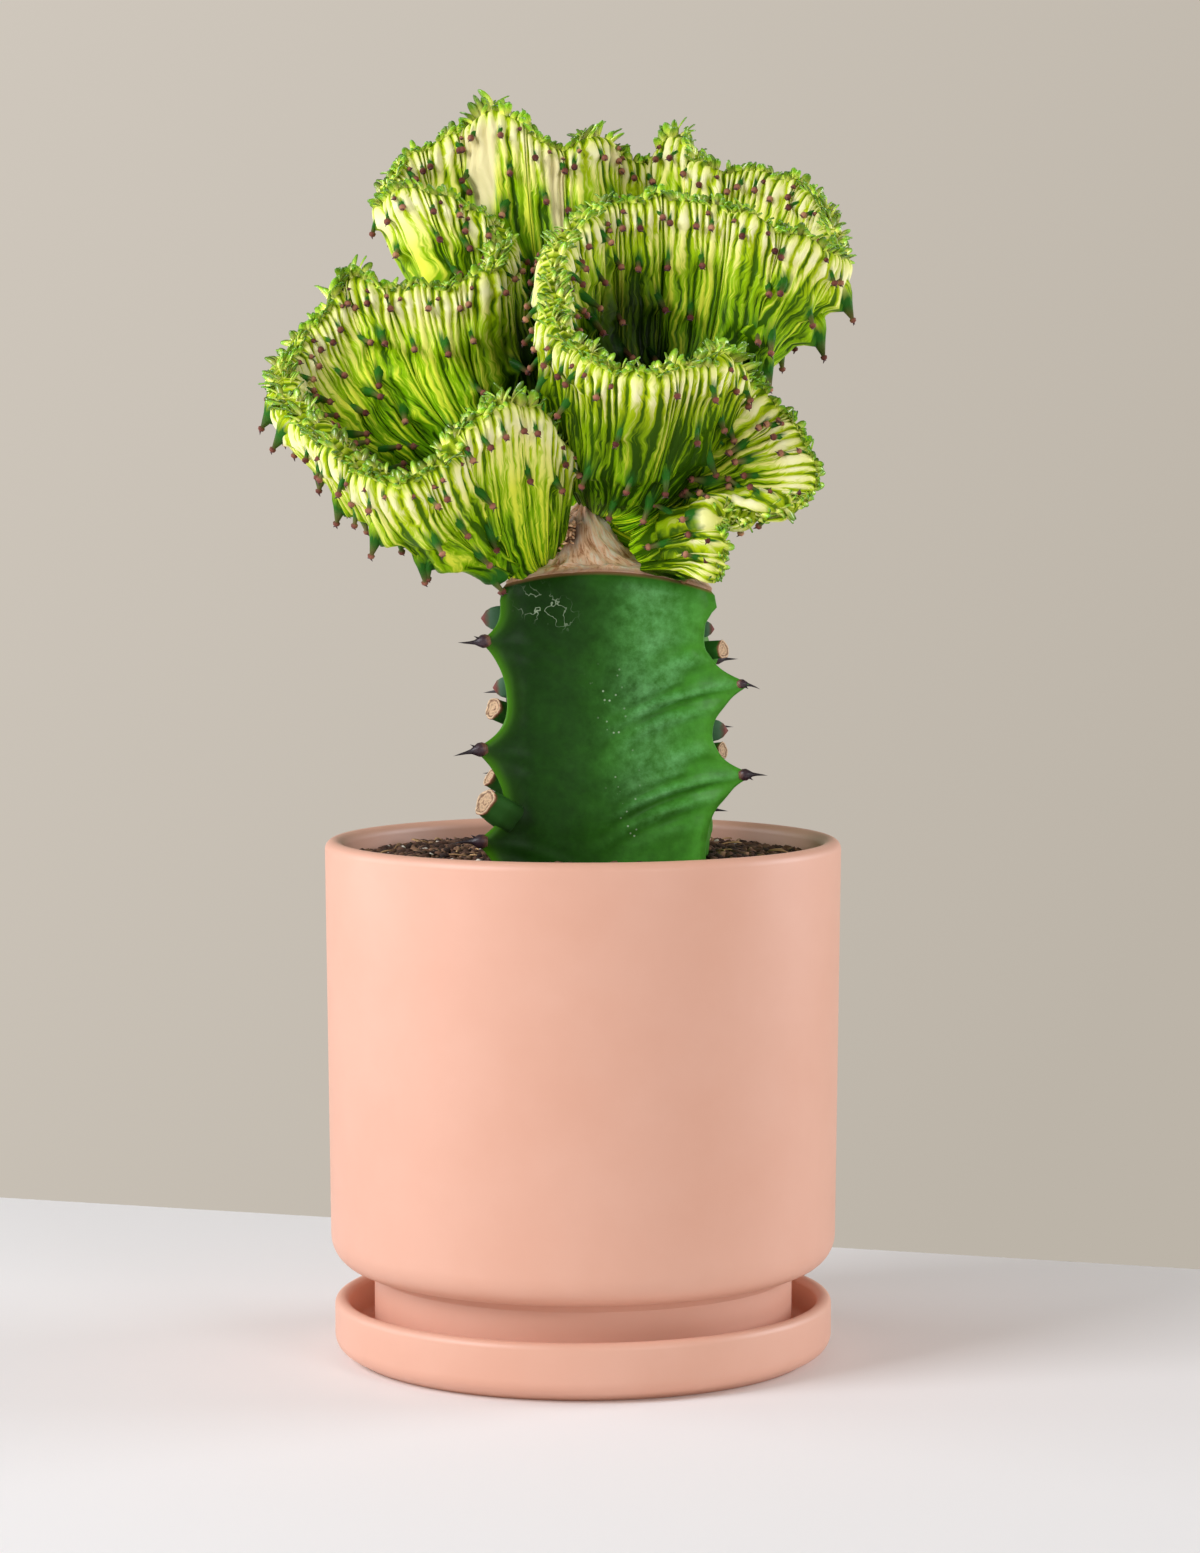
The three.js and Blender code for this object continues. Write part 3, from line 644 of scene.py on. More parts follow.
@dataclass
class CrestSheet:
    """The folded fan of the crest: a line for its edge, and ribs from the neck out to that line.

    The line's rows hold x, y, z in millimetres, then in degrees the lean of the growth at the edge and
    the sag of the ribs. Rows that aren't plain also hold the turn of the growth in plan in degrees and
    how far out the ribs start. The clefts, where shade is painted, have rows that hold x, y, z, half
    width, half height and depth; places where light is painted have a depth below 0. The cream
    sectors' rows hold x, length and half width.
    """

    line: tuple = (
        (-5, -31, 246, 5, 38), (-10, -38, 254, 5, 52), (-17, -44, 259, 5, 68), (-26, -48, 257, 5, 98),
        (-33, -52, 249, 10, 100), (-39, -55, 242, 12, 92), (-46, -57, 238.5, 15, 74),
        (-54, -56, 241, 15, 49), (-62, -49, 247, 15, 34), (-71, -38, 254, 20, 32),
        (-78.5, -22, 261, 20, 32), (-81, -6, 269, 20, 34), (-76.5, 5, 276.5, 20, 36),
        (-69, 10, 285.5, 15, 34), (-63, 12, 293, 12, 32), (-55.5, 11, 291, 10, 32), (-46, 10, 290, 8, 32),
        (-36, 10, 291, 5, 30), (-27, 13, 295, 5, 25), (-22, 20, 302, 5, 20), (-26, 27, 309, 8, 20),
        (-34, 28, 314, 12, 22), (-44, 28, 317, 20, 14), (-51, 28, 317, 28, 9), (-55, 34, 316, 34, 3),
        (-53.5, 42, 322, 25, 6), (-49, 46, 328, 14, 16), (-39.5, 48, 332.5, 8, 20), (-32, 48, 336.5, 5, 20),
        (-26, 46, 340, 5, 18), (-18, 44, 337.5, 5, 18), (-11, 44, 331.5, 5, 18), (-3, 46, 330, 8, 18),
        (2, 50, 334, 10, 20), (10, 57, 329, 10, 20), (17, 61, 326, 10, 20), (26, 58, 334, 8, 20),
        (33, 52, 327, 8, 20), (41, 49, 324, 10, 22), (52, 46, 323, 12, 20), (62.5, 41, 319, 15, 14),
        (68.5, 30, 309, 20, -2), (69.5, 16, 300, 28, -14), (62.5, 5, 302, 22, -13), (50, 2, 307, 8, 16),
        (37, 3, 312, 0, 24), (23, 4, 314, 0, 20), (9, 0, 313, 0, 10), (-1, -8, 308, 0, 5),
        (-7, -19, 299, 5, 14), (-8, -30, 287, 10, 24), (-5, -40, 277, 12, 36), (3, -48, 270, 14, 42),
        (14, -52, 267, 15, 42), (25, -50, 268, 16, 40), (33, -44, 271, 16, 34, 0, 0.17),
        (39, -34, 270, 18, 24, 10, 0.18), (43, -25, 265.5, 25, 15, 15, 0.18),
        (46.5, -21, 262.5, 35, 5, 22, 0.19), (51.5, -23, 258.5, 50, -5, 26, 0.2),
        (57.5, -26, 249.5, 65, -8, 26, 0.2), (61.4, -30, 240.2, 85, -10, 22, 0.2),
        (57, -33, 231.6, 100, -8, 18, 0.2), (45.5, -35, 229.8, 100, -4, 18, 0.22),
        (36, -37, 229.3, 80, -6, 22, 0.28), (37.5, -38, 219, 95, -6, 26, 0.34),
        (34, -38, 211.5, 110, -6, 26, 0.38),
    )
    plain: tuple = (0, 0.16)
    neck_x: float = 3.5
    neck_y: float = -2.0
    rib_origin_z: float = 230.0
    rib_stiffness: float = 0.38
    lobe_drop: float = 58.0
    front_part: tuple = (0.03, 0.1)
    front_shift: tuple = (11.5, 0, 14.0)
    fan_part: tuple = (0.82, 0.87)
    fan_shift: tuple = (1.0, -8.5, -3.5)
    base_half: float = 1.5
    edge_half: float = 4.6
    roundness: float = 2.4
    strips: int = 3
    columns: int = 2401
    rim_rows: int = 18
    rim_crowding: float = 1.25
    rim_mm: float = 14.0
    low_rows: int = 40
    low_crowding: float = 1.15
    rib_points: int = 80
    brush: int = 33
    tightest: float = 0.12
    loosest: float = 1.1
    rib_mm: float = 9.0
    rib_depth: float = 0.19
    pleat_mm: float = 2.15
    pleat_depth: float = 1.2
    scallop_mm: float = 1.5
    ruffle_mm: float = 1.0
    ruffles: tuple = ((17.0, 0.55), (27.0, 0.45), (11.0, 0.25))
    gather: Gather = Gather()
    # Painted shade deep in the clefts between the lobes; rows with a depth below 0 place painted light, and
    # bright_pale is how much paler that painted light makes the skin.
    clefts: tuple = ((-17, 15, 266, 15, 30, 0.85), (8, -2, 278, 14, 20, 0.85), (22, -8, 266, 20, 20, 0.75),
                     (11, -18, 224, 9, 11, -1.8), (-48, 5, 265, 24, 18, -0.3))
    bright_pale: float = 0.26
    pale_levels: tuple = ((0, -0.14), (2.5, 0.2), (6, 0.26), (10, 0.15), (16, 0.01), (30, -0.06), (50, -0.09),
                          (75, -0.1), (110, -0.12))
    sectors: tuple = ((-27, 34, 4.5), (-9, 30, 4.0), (5, 10, 2.0))
    inner_map: float = 900.0
    seed: int = 17

    def edge_samples(self, share: np.ndarray) -> tuple[np.ndarray, np.ndarray, float]:
        """Follow the edge line by its own length.

        Args:
            share: Shares of the line's length.

        Returns:
            The rows of the line there, the distance along it, and its length.
        """
        rows = np.array([(*row, *self.plain)[:7] for row in self.line], float)
        rows = np.vstack([2 * rows[0] - rows[1], rows, 2 * rows[-1] - rows[-2]])
        steps = np.linspace(0, 1, 24, endpoint=False)[:, None]
        dense = []
        for before, a, b, after in zip(rows, rows[1:], rows[2:], rows[3:]):
            first, own, last = (max(np.linalg.norm((q - p)[:3]), 1e-6) ** 0.5
                                for p, q in ((before, a), (a, b), (b, after)))
            out = ((a - before) / first - (b - before) / (first + own) + (b - a) / own) * own
            back = ((b - a) / own - (after - a) / (own + last) + (after - b) / last) * own
            dense.append(a + out * steps + (3 * (b - a) - 2 * out - back) * steps ** 2
                         + (2 * (a - b) + out + back) * steps ** 3)
        dense = np.vstack([*dense, rows[-2:-1]])
        run = np.concatenate([[0], np.cumsum(np.linalg.norm(np.diff(dense[:, :3], axis=0), axis=1))])
        place = share * run[-1]
        return np.stack([np.interp(place, run, dense[:, k]) for k in range(7)], 1), place, run[-1]

    def build(self) -> None:
        """Work out the sheet's middle surface."""
        random = np.random.default_rng(self.seed)
        rows, place, self.length = self.edge_samples(np.linspace(0, 1, self.columns))
        tip = rows[:, :3].copy()
        lean, sag, turn = np.radians(rows[:, 3:6]).T
        spread = rows[:, 6]
        low = self.rib_origin_z - self.lobe_drop * np.maximum(spread - self.plain[1], 0)
        root = np.stack([self.neck_x + spread * (tip[:, 0] - self.neck_x),
                         self.neck_y + spread * (tip[:, 1] - self.neck_y), low], 1)
        share = np.linspace(0, 1, self.columns)
        root -= np.outer(1 - smoothstep(*self.front_part, share), self.front_shift)
        root += np.outer(smoothstep(*self.fan_part, share), self.fan_shift)
        aside = unit(np.cross(unit(np.gradient(tip, axis=0)), UP))
        wave, lift = np.zeros(self.columns), np.zeros(self.columns)
        for period, size in self.ruffles:
            wave += size * np.sin(FULL_TURN * place / period + random.uniform(0, 6.28))
            lift += size * np.sin(FULL_TURN * place / (period * 0.8) + random.uniform(0, 6.28))
        tip += aside * (self.ruffle_mm * wave)[:, None]
        tip[:, 2] += self.ruffle_mm * lift
        chord = tip - root
        flat = np.linalg.norm(chord[:, :2], axis=1)
        out = np.stack([chord[:, 0] / flat, chord[:, 1] / flat, np.zeros(self.columns)], 1)
        rise = np.arctan2(chord[:, 2], flat) - sag
        reach = self.rib_stiffness * np.linalg.norm(chord, axis=1)
        start = root + reach[:, None] * (np.cos(rise)[:, None] * out + np.sin(rise)[:, None] * UP)
        turned = np.stack([np.cos(turn) * out[:, 0] - np.sin(turn) * out[:, 1],
                           np.sin(turn) * out[:, 0] + np.cos(turn) * out[:, 1], 0 * turn], 1)
        growth = np.sin(lean)[:, None] * turned + np.cos(lean)[:, None] * UP
        end = tip - reach[:, None] * growth
        self.lay_grid(root, start, end, tip, place)
        self.swell, self.drawn, self.wedge, self.shade = (
            {face: np.zeros_like(self.below) for face in Face} for _ in range(4))

    def lay_grid(self, root: np.ndarray, start: np.ndarray, end: np.ndarray, tip: np.ndarray,
                 place: np.ndarray) -> None:
        """Lay rows over the ribs, close together near the edge.

        Args:
            root: Where each rib starts.
            start: The control point after it.
            end: The control point before the edge.
            tip: The rib's end on the edge.
            place: Distance along the edge.
        """
        def on_rib(v: np.ndarray) -> np.ndarray:
            """Points of the ribs at shares v."""
            v = v[..., None]
            return ((1 - v) ** 3 * root[:, None] + 3 * v * (1 - v) ** 2 * start[:, None]
                    + 3 * v ** 2 * (1 - v) * end[:, None] + v ** 3 * tip[:, None])

        fine = np.tile(np.linspace(1, 0, self.rib_points), (self.columns, 1))
        hops = np.linalg.norm(np.diff(on_rib(fine), axis=1), axis=2)
        run = np.concatenate([np.zeros((self.columns, 1)), np.cumsum(hops, axis=1)], 1)
        self.full = run[:, -1]
        rim = np.minimum(self.rim_mm, 0.45 * self.full)
        near = rim[:, None] * np.linspace(0, 1, self.rim_rows) ** self.rim_crowding
        far = np.linspace(0, 1, self.low_rows + 1)[1:] ** self.low_crowding
        self.below = np.concatenate([near, rim[:, None] + (self.full - rim)[:, None] * far], 1)
        self.share = np.stack([np.interp(self.below[i], run[i], fine[i]) for i in range(self.columns)])
        self.middle = on_rib(self.share)
        self.along_edge = np.repeat(place[:, None], self.below.shape[1], 1)
        step = np.gradient(self.middle, axis=0)
        self.across = unit(step)
        spacing = np.linalg.norm(step, axis=2) / (self.length / (self.columns - 1))
        brush = np.hanning(self.brush) / np.hanning(self.brush).sum()
        evened = np.apply_along_axis(np.convolve, 0, spacing, brush, "same")
        self.local = np.clip(evened, self.tightest, self.loosest)
        self.outward = -unit(np.gradient(self.middle, axis=1))
        self.normal = unit(np.cross(self.across, self.outward))

    def draw_in(self, face: Face, place: float, below: float, size: float) -> None:
        """Gather the pleats of a face into a tooth: swell it, pull the streaks in, colour it and paint shade
        below it.

        Args:
            face: The face.
            place: Distance of the tooth along the edge.
            below: Its distance below the edge.
            size: Its size, 1 for a common one.
        """
        g = self.gather
        c = self.column(place)
        half = int(g.reach / self.length * self.columns)
        window = slice(max(c - half, 0), min(c + half, self.columns))
        squeeze = self.local[window]
        aside = (self.along_edge[window] - place) * squeeze
        up = below - self.below[window]
        rising = np.clip(1 - up / (g.rise * size), 0, 1)
        falling = np.clip(1 + up / (g.hump_fall * size), 0, 1)
        hump = np.exp(-(np.abs(aside) / (g.hump_half * size)) ** 1.5)
        self.swell[face][window] += g.hump * size * hump * np.where(up >= 0, rising ** 1.5, falling)
        tall = np.where(up > 0, g.pull_above, g.pull_below) * size
        near = np.exp(-(aside / (g.pull_half * size)) ** 2) * np.exp(-(up / tall) ** 2)
        self.drawn[face][window] += g.pull * aside / squeeze * near
        reach = np.where(up >= 0, rising, np.clip(1 + up / (g.wedge_fall * size), 0, 1))
        wide = (g.wedge_half + g.wedge_flare * np.clip(up, 0, 7)) * size
        wedge = g.wedge * np.minimum(reach * 1.3, 1) * np.exp(-(aside / wide) ** 4)
        self.wedge[face][window] = np.maximum(self.wedge[face][window], wedge)
        # Painted shade below the tooth.
        down = g.painted_shade_drop * size
        painted_shade_below = np.exp(-(aside / (g.painted_shade_half * size)) ** 2) * np.exp(-((up + down) / down) ** 2)
        self.shade[face][window] -= g.painted_shade_below * size * painted_shade_below

    def shape_relief(self) -> None:
        """Raise ribs, pleats and tooth backs on both faces."""
        thick = self.base_half + (self.edge_half - self.base_half) * self.share
        rounding = np.clip((self.edge_half - self.below) / self.edge_half, 0, 1)
        self.thick = thick * (1 - rounding ** self.roundness) ** (1 / self.roundness)
        rib_size = self.rib_depth * self.rib_mm * self.local * smoothstep(6, 22, self.below)
        fading = (1 - 0.5 * smoothstep(6, 14, self.below)) * (1 - 0.35 * smoothstep(20, 40, self.below))
        pleat_size = self.pleat_depth * smoothstep(0.2, 2.0, self.below) * fading * self.local
        self.relief, self.ridge, self.crown, self.place = {}, {}, {}, {}
        for face, phase in ((Face.OUTER, 0.0), (Face.INNER, 0.37)):
            place = self.along_edge + self.drawn[face]
            drift = 0.3 * np.sin(self.along_edge / 37 + self.below / 29 + phase * 9)
            wave = np.abs(((place / self.rib_mm + phase + drift) % 1) - 0.5) * 2
            rib = 0.5 - (1 - wave) ** 1.8
            uneven = 0.32 * np.sin(self.along_edge / 5.3 + phase * 5) + 0.2 * np.sin(self.along_edge / 3.1)
            turn = (place / self.pleat_mm + phase * 3 + drift * 1.7 + uneven) * FULL_TURN
            pleat = (0.5 + 0.5 * np.cos(turn)) ** 0.6
            self.relief[face] = rib_size * rib + pleat_size * (pleat - 0.65) + self.swell[face]
            self.ridge[face] = pleat
            self.crown[face] = rib * smoothstep(7, 18, self.below)
            self.place[face] = place

    def column(self, place: float) -> int:
        """The grid column at a distance along the edge."""
        return int(np.clip(round(place / self.length * (self.columns - 1)), 1, self.columns - 2))

    def read(self, grid: np.ndarray, place: float, below: float) -> np.ndarray:
        """The vector of a grid at a distance along the edge and below it."""
        c = self.column(place)
        return np.array([np.interp(below, self.below[c], grid[c][:, k]) for k in range(3)])

    def frame_at(self, face: Face, place: float, below: float) -> dict[str, np.ndarray]:
        """The surface of a face at a place.

        Args:
            face: The face.
            place: Distance along the edge.
            below: Distance below the edge.

        Returns:
            Its point, outside direction, directions to the edge and along it, and the height of the
            face over the sheet's middle.
        """
        c = self.column(place)
        height = np.interp(below, self.below[c], self.thick[c] + self.relief[face][c])
        middle, normal, outward, across = (self.read(grid, place, below) for grid in (
            self.middle, self.normal, self.outward, self.across))
        out = unit(normal) * face.value
        return {"at": middle + out * height, "out": out, "edgeward": unit(outward), "across": unit(across),
                "height": height}

    def pieces(self) -> list[Object]:
        """Make the sheet's meshes, strip by strip, each closed round its edge, ends and neck side.

        Returns:
            The strips.
        """
        sides = [self.middle + self.normal * (face.value * (self.thick + self.relief[face]))[..., None]
                 for face in Face]
        scallop = 0.5 * (self.ridge[Face.OUTER][:, 3:4] + self.ridge[Face.INNER][:, 3:4]) - 0.5
        rim = self.middle[:, 0] + self.outward[:, 0] * scallop * self.scallop_mm
        for side in sides:
            side[:, 0] = rim
        # Painted shade in the clefts and on the front wall, and painted light in the bright places, which
        # also turn paler.
        gloom = self.gloom()
        pale = self.pale() - self.bright_pale * np.minimum(gloom, 0)
        cream = self.cream()
        cuts = np.linspace(0, self.columns - 1, self.strips + 1).astype(int)
        made = []
        for number, (a, b) in enumerate(zip(cuts, cuts[1:])):
            cut = slice(a, b + 1)
            n, m = b + 1 - a, self.below.shape[1]
            points = np.concatenate([side[cut].reshape(-1, 3) for side in sides])
            below = self.below[cut].ravel()
            marks = {
                "edge_mm": np.concatenate([below, below]),
                "tooth": np.concatenate([self.wedge[face][cut].ravel() for face in Face]),
                "pale": np.concatenate([(pale + self.lifted(face))[cut].ravel() for face in Face]),
                "cream": np.concatenate([cream[cut].ravel()] * 2),
                "gloom": np.concatenate([gloom[cut].ravel()] * 2),
                "knob": np.zeros(2 * n * m),
            }
            across = [self.place[face][cut].ravel() + self.map_start(face) for face in Face]
            uv = np.stack([np.concatenate(across), marks["edge_mm"]], 1)
            made.append(new_piece(f"crest_sheet_{number + 1}", points, self.closed_faces(n, m), marks, uv))
        return made

    def map_start(self, face: Face) -> float:
        """Where a face starts on the growth map."""
        return self.inner_map if face is Face.INNER else 0

    @staticmethod
    def closed_faces(n: int, m: int) -> list:
        """Faces of two grids that share their first row.

        Args:
            n: Columns.
            m: Rows.

        Returns:
            Corner lists.
        """
        index = np.arange(n * m).reshape(n, m)
        back = index + n * m
        back[:, 0] = index[:, 0]
        faces = []
        for grid, turned in ((index, True), (back, False)):
            a, b, c, d = grid[:-1, :-1], grid[1:, :-1], grid[1:, 1:], grid[:-1, 1:]
            quads = np.stack([a, d, c, b] if turned else [a, b, c, d], -1).reshape(-1, 4)
            faces.extend(quads.tolist())
        foot = np.stack([index[:-1, -1], back[:-1, -1], back[1:, -1], index[1:, -1]], -1)
        faces.extend(foot.tolist())
        for c, flip in ((0, False), (n - 1, True)):
            loop = [*index[c].tolist(), *back[c][:0:-1].tolist()]
            faces.append(loop[::-1] if flip else loop)
        return faces

    def lifted(self, face: Face) -> np.ndarray:
        """How much paler raised pleats and rib crowns are than the valleys between them, as painted light on
        the crests and painted shade in the valleys, and the painted shade below the teeth.
        """
        near = 1 - smoothstep(6, 16, self.below)
        return (0.3 + 0.35 * near) * (self.ridge[face] - 0.62) + 0.3 * self.crown[face] + self.shade[face]

    def cliff(self) -> np.ndarray:
        """Mask of the steep front wall over the graft."""
        x, y, _ = np.moveaxis(self.middle[:, :1], 2, 0)
        return smoothstep(-14, -6, x) * smoothstep(46, 38, x) * smoothstep(-8, -20, y)

    def pale(self) -> np.ndarray:
        """How far the pale tone wins over the dark one, from the edge down.

        Returns:
            A share for every point.
        """
        levels = np.interp(self.below, *zip(*self.pale_levels))
        drift = 0.06 * np.sin(self.along_edge / 23 + 1) + 0.04 * np.sin(self.along_edge / 9.7)
        x, y, z = np.moveaxis(self.middle[:, :1], 2, 0)
        # Painted shade on the low lobes at the right, which face the light.
        painted_shade_low_right = smoothstep(240, 228, z) * smoothstep(10, 30, x)
        fan = smoothstep(36, 44, x) * smoothstep(-10, -18, y)
        return (levels + drift + (0.03 * fan - 0.2 * self.cliff()) * smoothstep(2, 5, self.below)
                - 0.22 * painted_shade_low_right * smoothstep(2, 6, self.below))

    def cream(self) -> np.ndarray:
        """Mask of the smooth cream sectors below the top of the back wall.

        Returns:
            A share for every point.
        """
        mask = np.zeros_like(self.below)
        tips = self.middle[:, 0]
        for x, reach, wide in self.sectors:
            off = np.abs(tips[:, 0] - x)
            gap = np.where((tips[:, 1] > 38) & (off < 12), off, 99)[:, None]
            taper = wide * (1 - 0.6 * np.clip(self.below / reach, 0, 1))
            sector = smoothstep(1.1, 0.6, gap / taper) * smoothstep(reach, reach * 0.7, self.below)
            mask = np.maximum(mask, sector * smoothstep(2, 6, self.below))
        return mask

    def in_clefts(self, points: np.ndarray) -> np.ndarray:
        """How deep points lie in the clefts.

        Args:
            points: The points.

        Returns:
            A depth for each, below 0 in the bright places.
        """
        depth = np.zeros(points.shape[:-1])
        for x, y, z, wide, high, size in self.clefts:
            gap = (points - (x, y, z)) / (wide, 1.3 * wide, high)
            depth += size * np.exp(-(gap ** 2).sum(-1) ** 1.5)
        return depth

    def gloom(self) -> np.ndarray:
        """Painted shade deep in the clefts between the lobes and on the front wall, and painted light in the
        bright places.
        """
        deep = self.in_clefts(self.middle) * smoothstep(10, 22, self.below)
        return np.clip(deep + 0.34 * self.cliff() * smoothstep(3, 11, self.below), -1, 0.9)

    def gloom_at(self, place: float, below: float) -> float:
        """The painted shade of a tooth at a place on the sheet, from the clefts; in the bright places it is
        painted light.
        """
        return 0.8 * float(self.in_clefts(self.read(self.middle, place, below)))


@dataclass
class CrestTeeth:
    """Teeth in rows on both faces: small horny buds by the edge, and below them hooked wedges with a
    knob; each ends in a pair of short spines.

    The rows hold their distance below the edge, step, size and share of teeth that are missing; the
    fins, which stand on the outline, x, z and size. Girths are half widths, then half depths.
    """

    sheet: CrestSheet
    rows: tuple = ((3.0, 5.0, 0.36, 0.5), (6.8, 5.6, 0.62, 0.15), (17, 10.0, 0.95, 0.12),
                   (30, 12.0, 1.1, 0.1), (44, 13.5, 1.05, 0.1), (60, 14.0, 0.95, 0.1), (76, 16.0, 0.85, 0.1))
    fins: tuple = ((-71, 257, 1.3), (-69.5, 251.5, 1.3), (-64, 243, 1.4), (-57.5, 231.5, 1.4),
                   (-48, 226.5, 1.3), (-38, 224, 1.28), (65.5, 288, 1.4), (57, 279.5, 1.4), (43.5, 271, 1.3))
    spacing: tuple = (0.84, 1.16)
    sizes: tuple = (0.8, 1.15)
    depth_noise: float = 0.045
    deepest: float = 0.7
    fin_clear: tuple = (4.0, 7.0)
    bud_size: float = 0.5
    bud_mm: tuple = (0.5, 1.0)
    fin_size: float = 1.28
    flare_mm: float = 0.8
    heart_z: float = 275.0
    bare: tuple = (-23.0, 2.0, 234.0)
    height_mm: float = 2.7
    back_mm: float = 2.6
    sides: int = 8
    hook_girth: tuple = ((1.4, 1.3, 1.15, 0.9), (2.6, 2.3, 1.7, 1.1))
    fin_girth: tuple = ((2.1, 1.9, 1.5, 1.0), (3.6, 3.4, 2.6, 1.5))
    bud_girth: tuple = (1.0, 1.1, 1.1, 1.1, 1.1, 0.95, 0.6)
    knob: tuple = (0.58, 1.0, 0.84)
    knob_back: tuple = ((1.5,), (1.1,), (0.4,))
    bristle: tuple = (0.36, 0.24, 0.14)
    seed: int = 29

    def places(self) -> list[tuple[Face, float, float, float]]:
        """Choose where teeth stand.

        Returns:
            Face, place along the edge, distance below it and size of every tooth.
        """
        random = np.random.default_rng(self.seed)
        found = [self.outlined(*fin) for fin in self.fins]
        for face in Face:
            for below, step, size, missing in self.rows:
                place = random.uniform(0, step)
                while place < self.sheet.length - 3:
                    c = self.sheet.column(place)
                    depth = below * (1 + self.depth_noise * random.standard_normal())
                    beside, under = self.fin_clear
                    crowded = any(face is other and abs(place - at) < beside and abs(depth - low) < under
                                  for other, at, low, _ in found[:len(self.fins)])
                    spot = self.sheet.middle[c, np.searchsorted(self.sheet.below[c], depth) - 1]
                    bare = self.bare[0] < spot[0] < self.bare[1] and spot[2] < self.bare[2] and spot[1] < 0
                    deep = depth >= self.deepest * self.sheet.full[c]
                    if not deep and random.random() > missing and not (crowded or bare):
                        found.append((face, place, depth, size * random.uniform(*self.sizes)))
                    place += step * random.uniform(*self.spacing)
        return found

    def build(self) -> None:
        """Choose the places and gather the pleats into every tooth."""
        self.chosen = self.places()
        for face, place, below, size in self.chosen:
            self.sheet.draw_in(face, place, below, size)

    def shape(self, at: dict[str, np.ndarray], size: float, high: float,
              sway: float) -> tuple[np.ndarray, np.ndarray, np.ndarray, np.ndarray]:
        """Path, widths, depths and horny share of one tooth.

        Args:
            at: The surface there.
            size: Its size, 1 for a common one.
            high: How far it stands out.
            sway: Its lean along the edge.

        Returns:
            Points along its middle, half widths and half depths at all but the last, and where it
            turns to horn.
        """
        out, edgeward = at["out"], at["edgeward"]
        fin = size >= self.fin_size
        high *= 1.1 if fin else 1.0
        tip = at["at"] - edgeward * (0.9 if fin else 1.6) * size + out * high + at["across"] * sway
        if fin:
            tip = tip + self.flare_mm * smoothstep(-36, -58, at["at"][0]) * np.array([-0.9, 0, 0.45])
        t = np.linspace(0, 1, 8)[:, None]
        if size < self.bud_size:
            foot = at["at"] - out * 0.7
            radius = (0.8 * size + 0.3) * np.array(self.bud_girth)
            return foot + (tip - foot) * t, radius, radius, np.array([0, 0, 0.5, 1, 1, 1, 1])
        sunk = min(4.2 * size, 0.8 * at["height"])
        start = at["at"] + edgeward * self.back_mm * size - out * sunk
        bend = at["at"] + edgeward * 1.4 * size + out * high * 0.3
        path = (1 - t) ** 2 * start + 2 * t * (1 - t) * bend + t ** 2 * tip
        path[4:7] = tip - unit(tip - path[3]) * np.array(self.knob_back)
        widths, depths = (np.append(size * np.array(half), self.knob)
                          for half in (self.fin_girth if fin else self.hook_girth))
        return path, widths, depths, np.array([0, 0, 0, 0, 0.5, 1, 1])

    def pieces(self) -> tuple[Object, Object]:
        """Make the teeth and their spines.

        Returns:
            Both pieces.
        """
        random = np.random.default_rng(self.seed + 1)
        teeth, spines = Pile(), Pile()
        for face, place, below, size in self.chosen:
            at = self.sheet.frame_at(face, place, below)
            high = self.height_mm * size * random.uniform(*self.sizes)
            if size < self.bud_size:
                high = random.uniform(*self.bud_mm)
            path, widths, depths, horny = self.shape(at, size, high, random.normal(0, 0.4))
            points, share = horn(path, widths, depths, at["across"], self.sides)
            rings = len(widths)
            ring = np.minimum((share * rings).astype(int), rings - 1)
            green = 0.1 if size >= self.fin_size else 0.4
            off = points - at["at"]
            # Each tooth takes the painted shade of the cleft it stands in.
            teeth.add(points, tube_faces(rings, self.sides), edge_mm=below, pale=0.0, cream=0.0,
                      tooth=np.clip(share * 2.0 + green, 0, 1.2), knob=horny[ring],
                      gloom=self.sheet.gloom_at(place, below),
                      u=place + off @ at["across"] + self.sheet.map_start(face),
                      v=below - off @ at["edgeward"])
            heading = unit(path[-1] - path[-3])
            for way in (-1, 1):
                aim = unit(heading * 0.5 + at["across"] * way * random.uniform(0.6, 1.2)
                           - at["edgeward"] * random.uniform(0, 0.5))
                length = random.uniform(0.8, 1.5) * (0.6 + 0.4 * size)
                line = path[-1] - heading * 0.3 + np.linspace(0, 1, 4)[:, None] * aim * length
                spines.add_horn(line, self.bristle, self.bristle, at["out"], 4, random.random())
        return teeth.piece("crest_teeth"), spines.piece("crest_spines")

    def outlined(self, x: float, z: float, size: float) -> tuple[Face, float, float, float]:
        """Put a large fin on the crest's outline as seen from the front.

        Args:
            x: Where the fin shows across, in millimetres.
            z: Its height.
            size: Its size.

        Returns:
            Face, place along the edge, distance below it and size.
        """
        sheet = self.sheet
        off = np.abs(sheet.middle[..., 0] - x) + np.abs(sheet.middle[..., 2] - z)
        cost = off + 7 * np.abs(sheet.normal[..., 1]) + 99 * (sheet.below < 6)
        c, r = np.unravel_index(cost.argmin(), cost.shape)
        away = sheet.normal[c, r] @ np.array([x, 0, z - self.heart_z])
        face = Face.OUTER if away > 0 else Face.INNER
        return face, sheet.along_edge[c, r], sheet.below[c, r], size


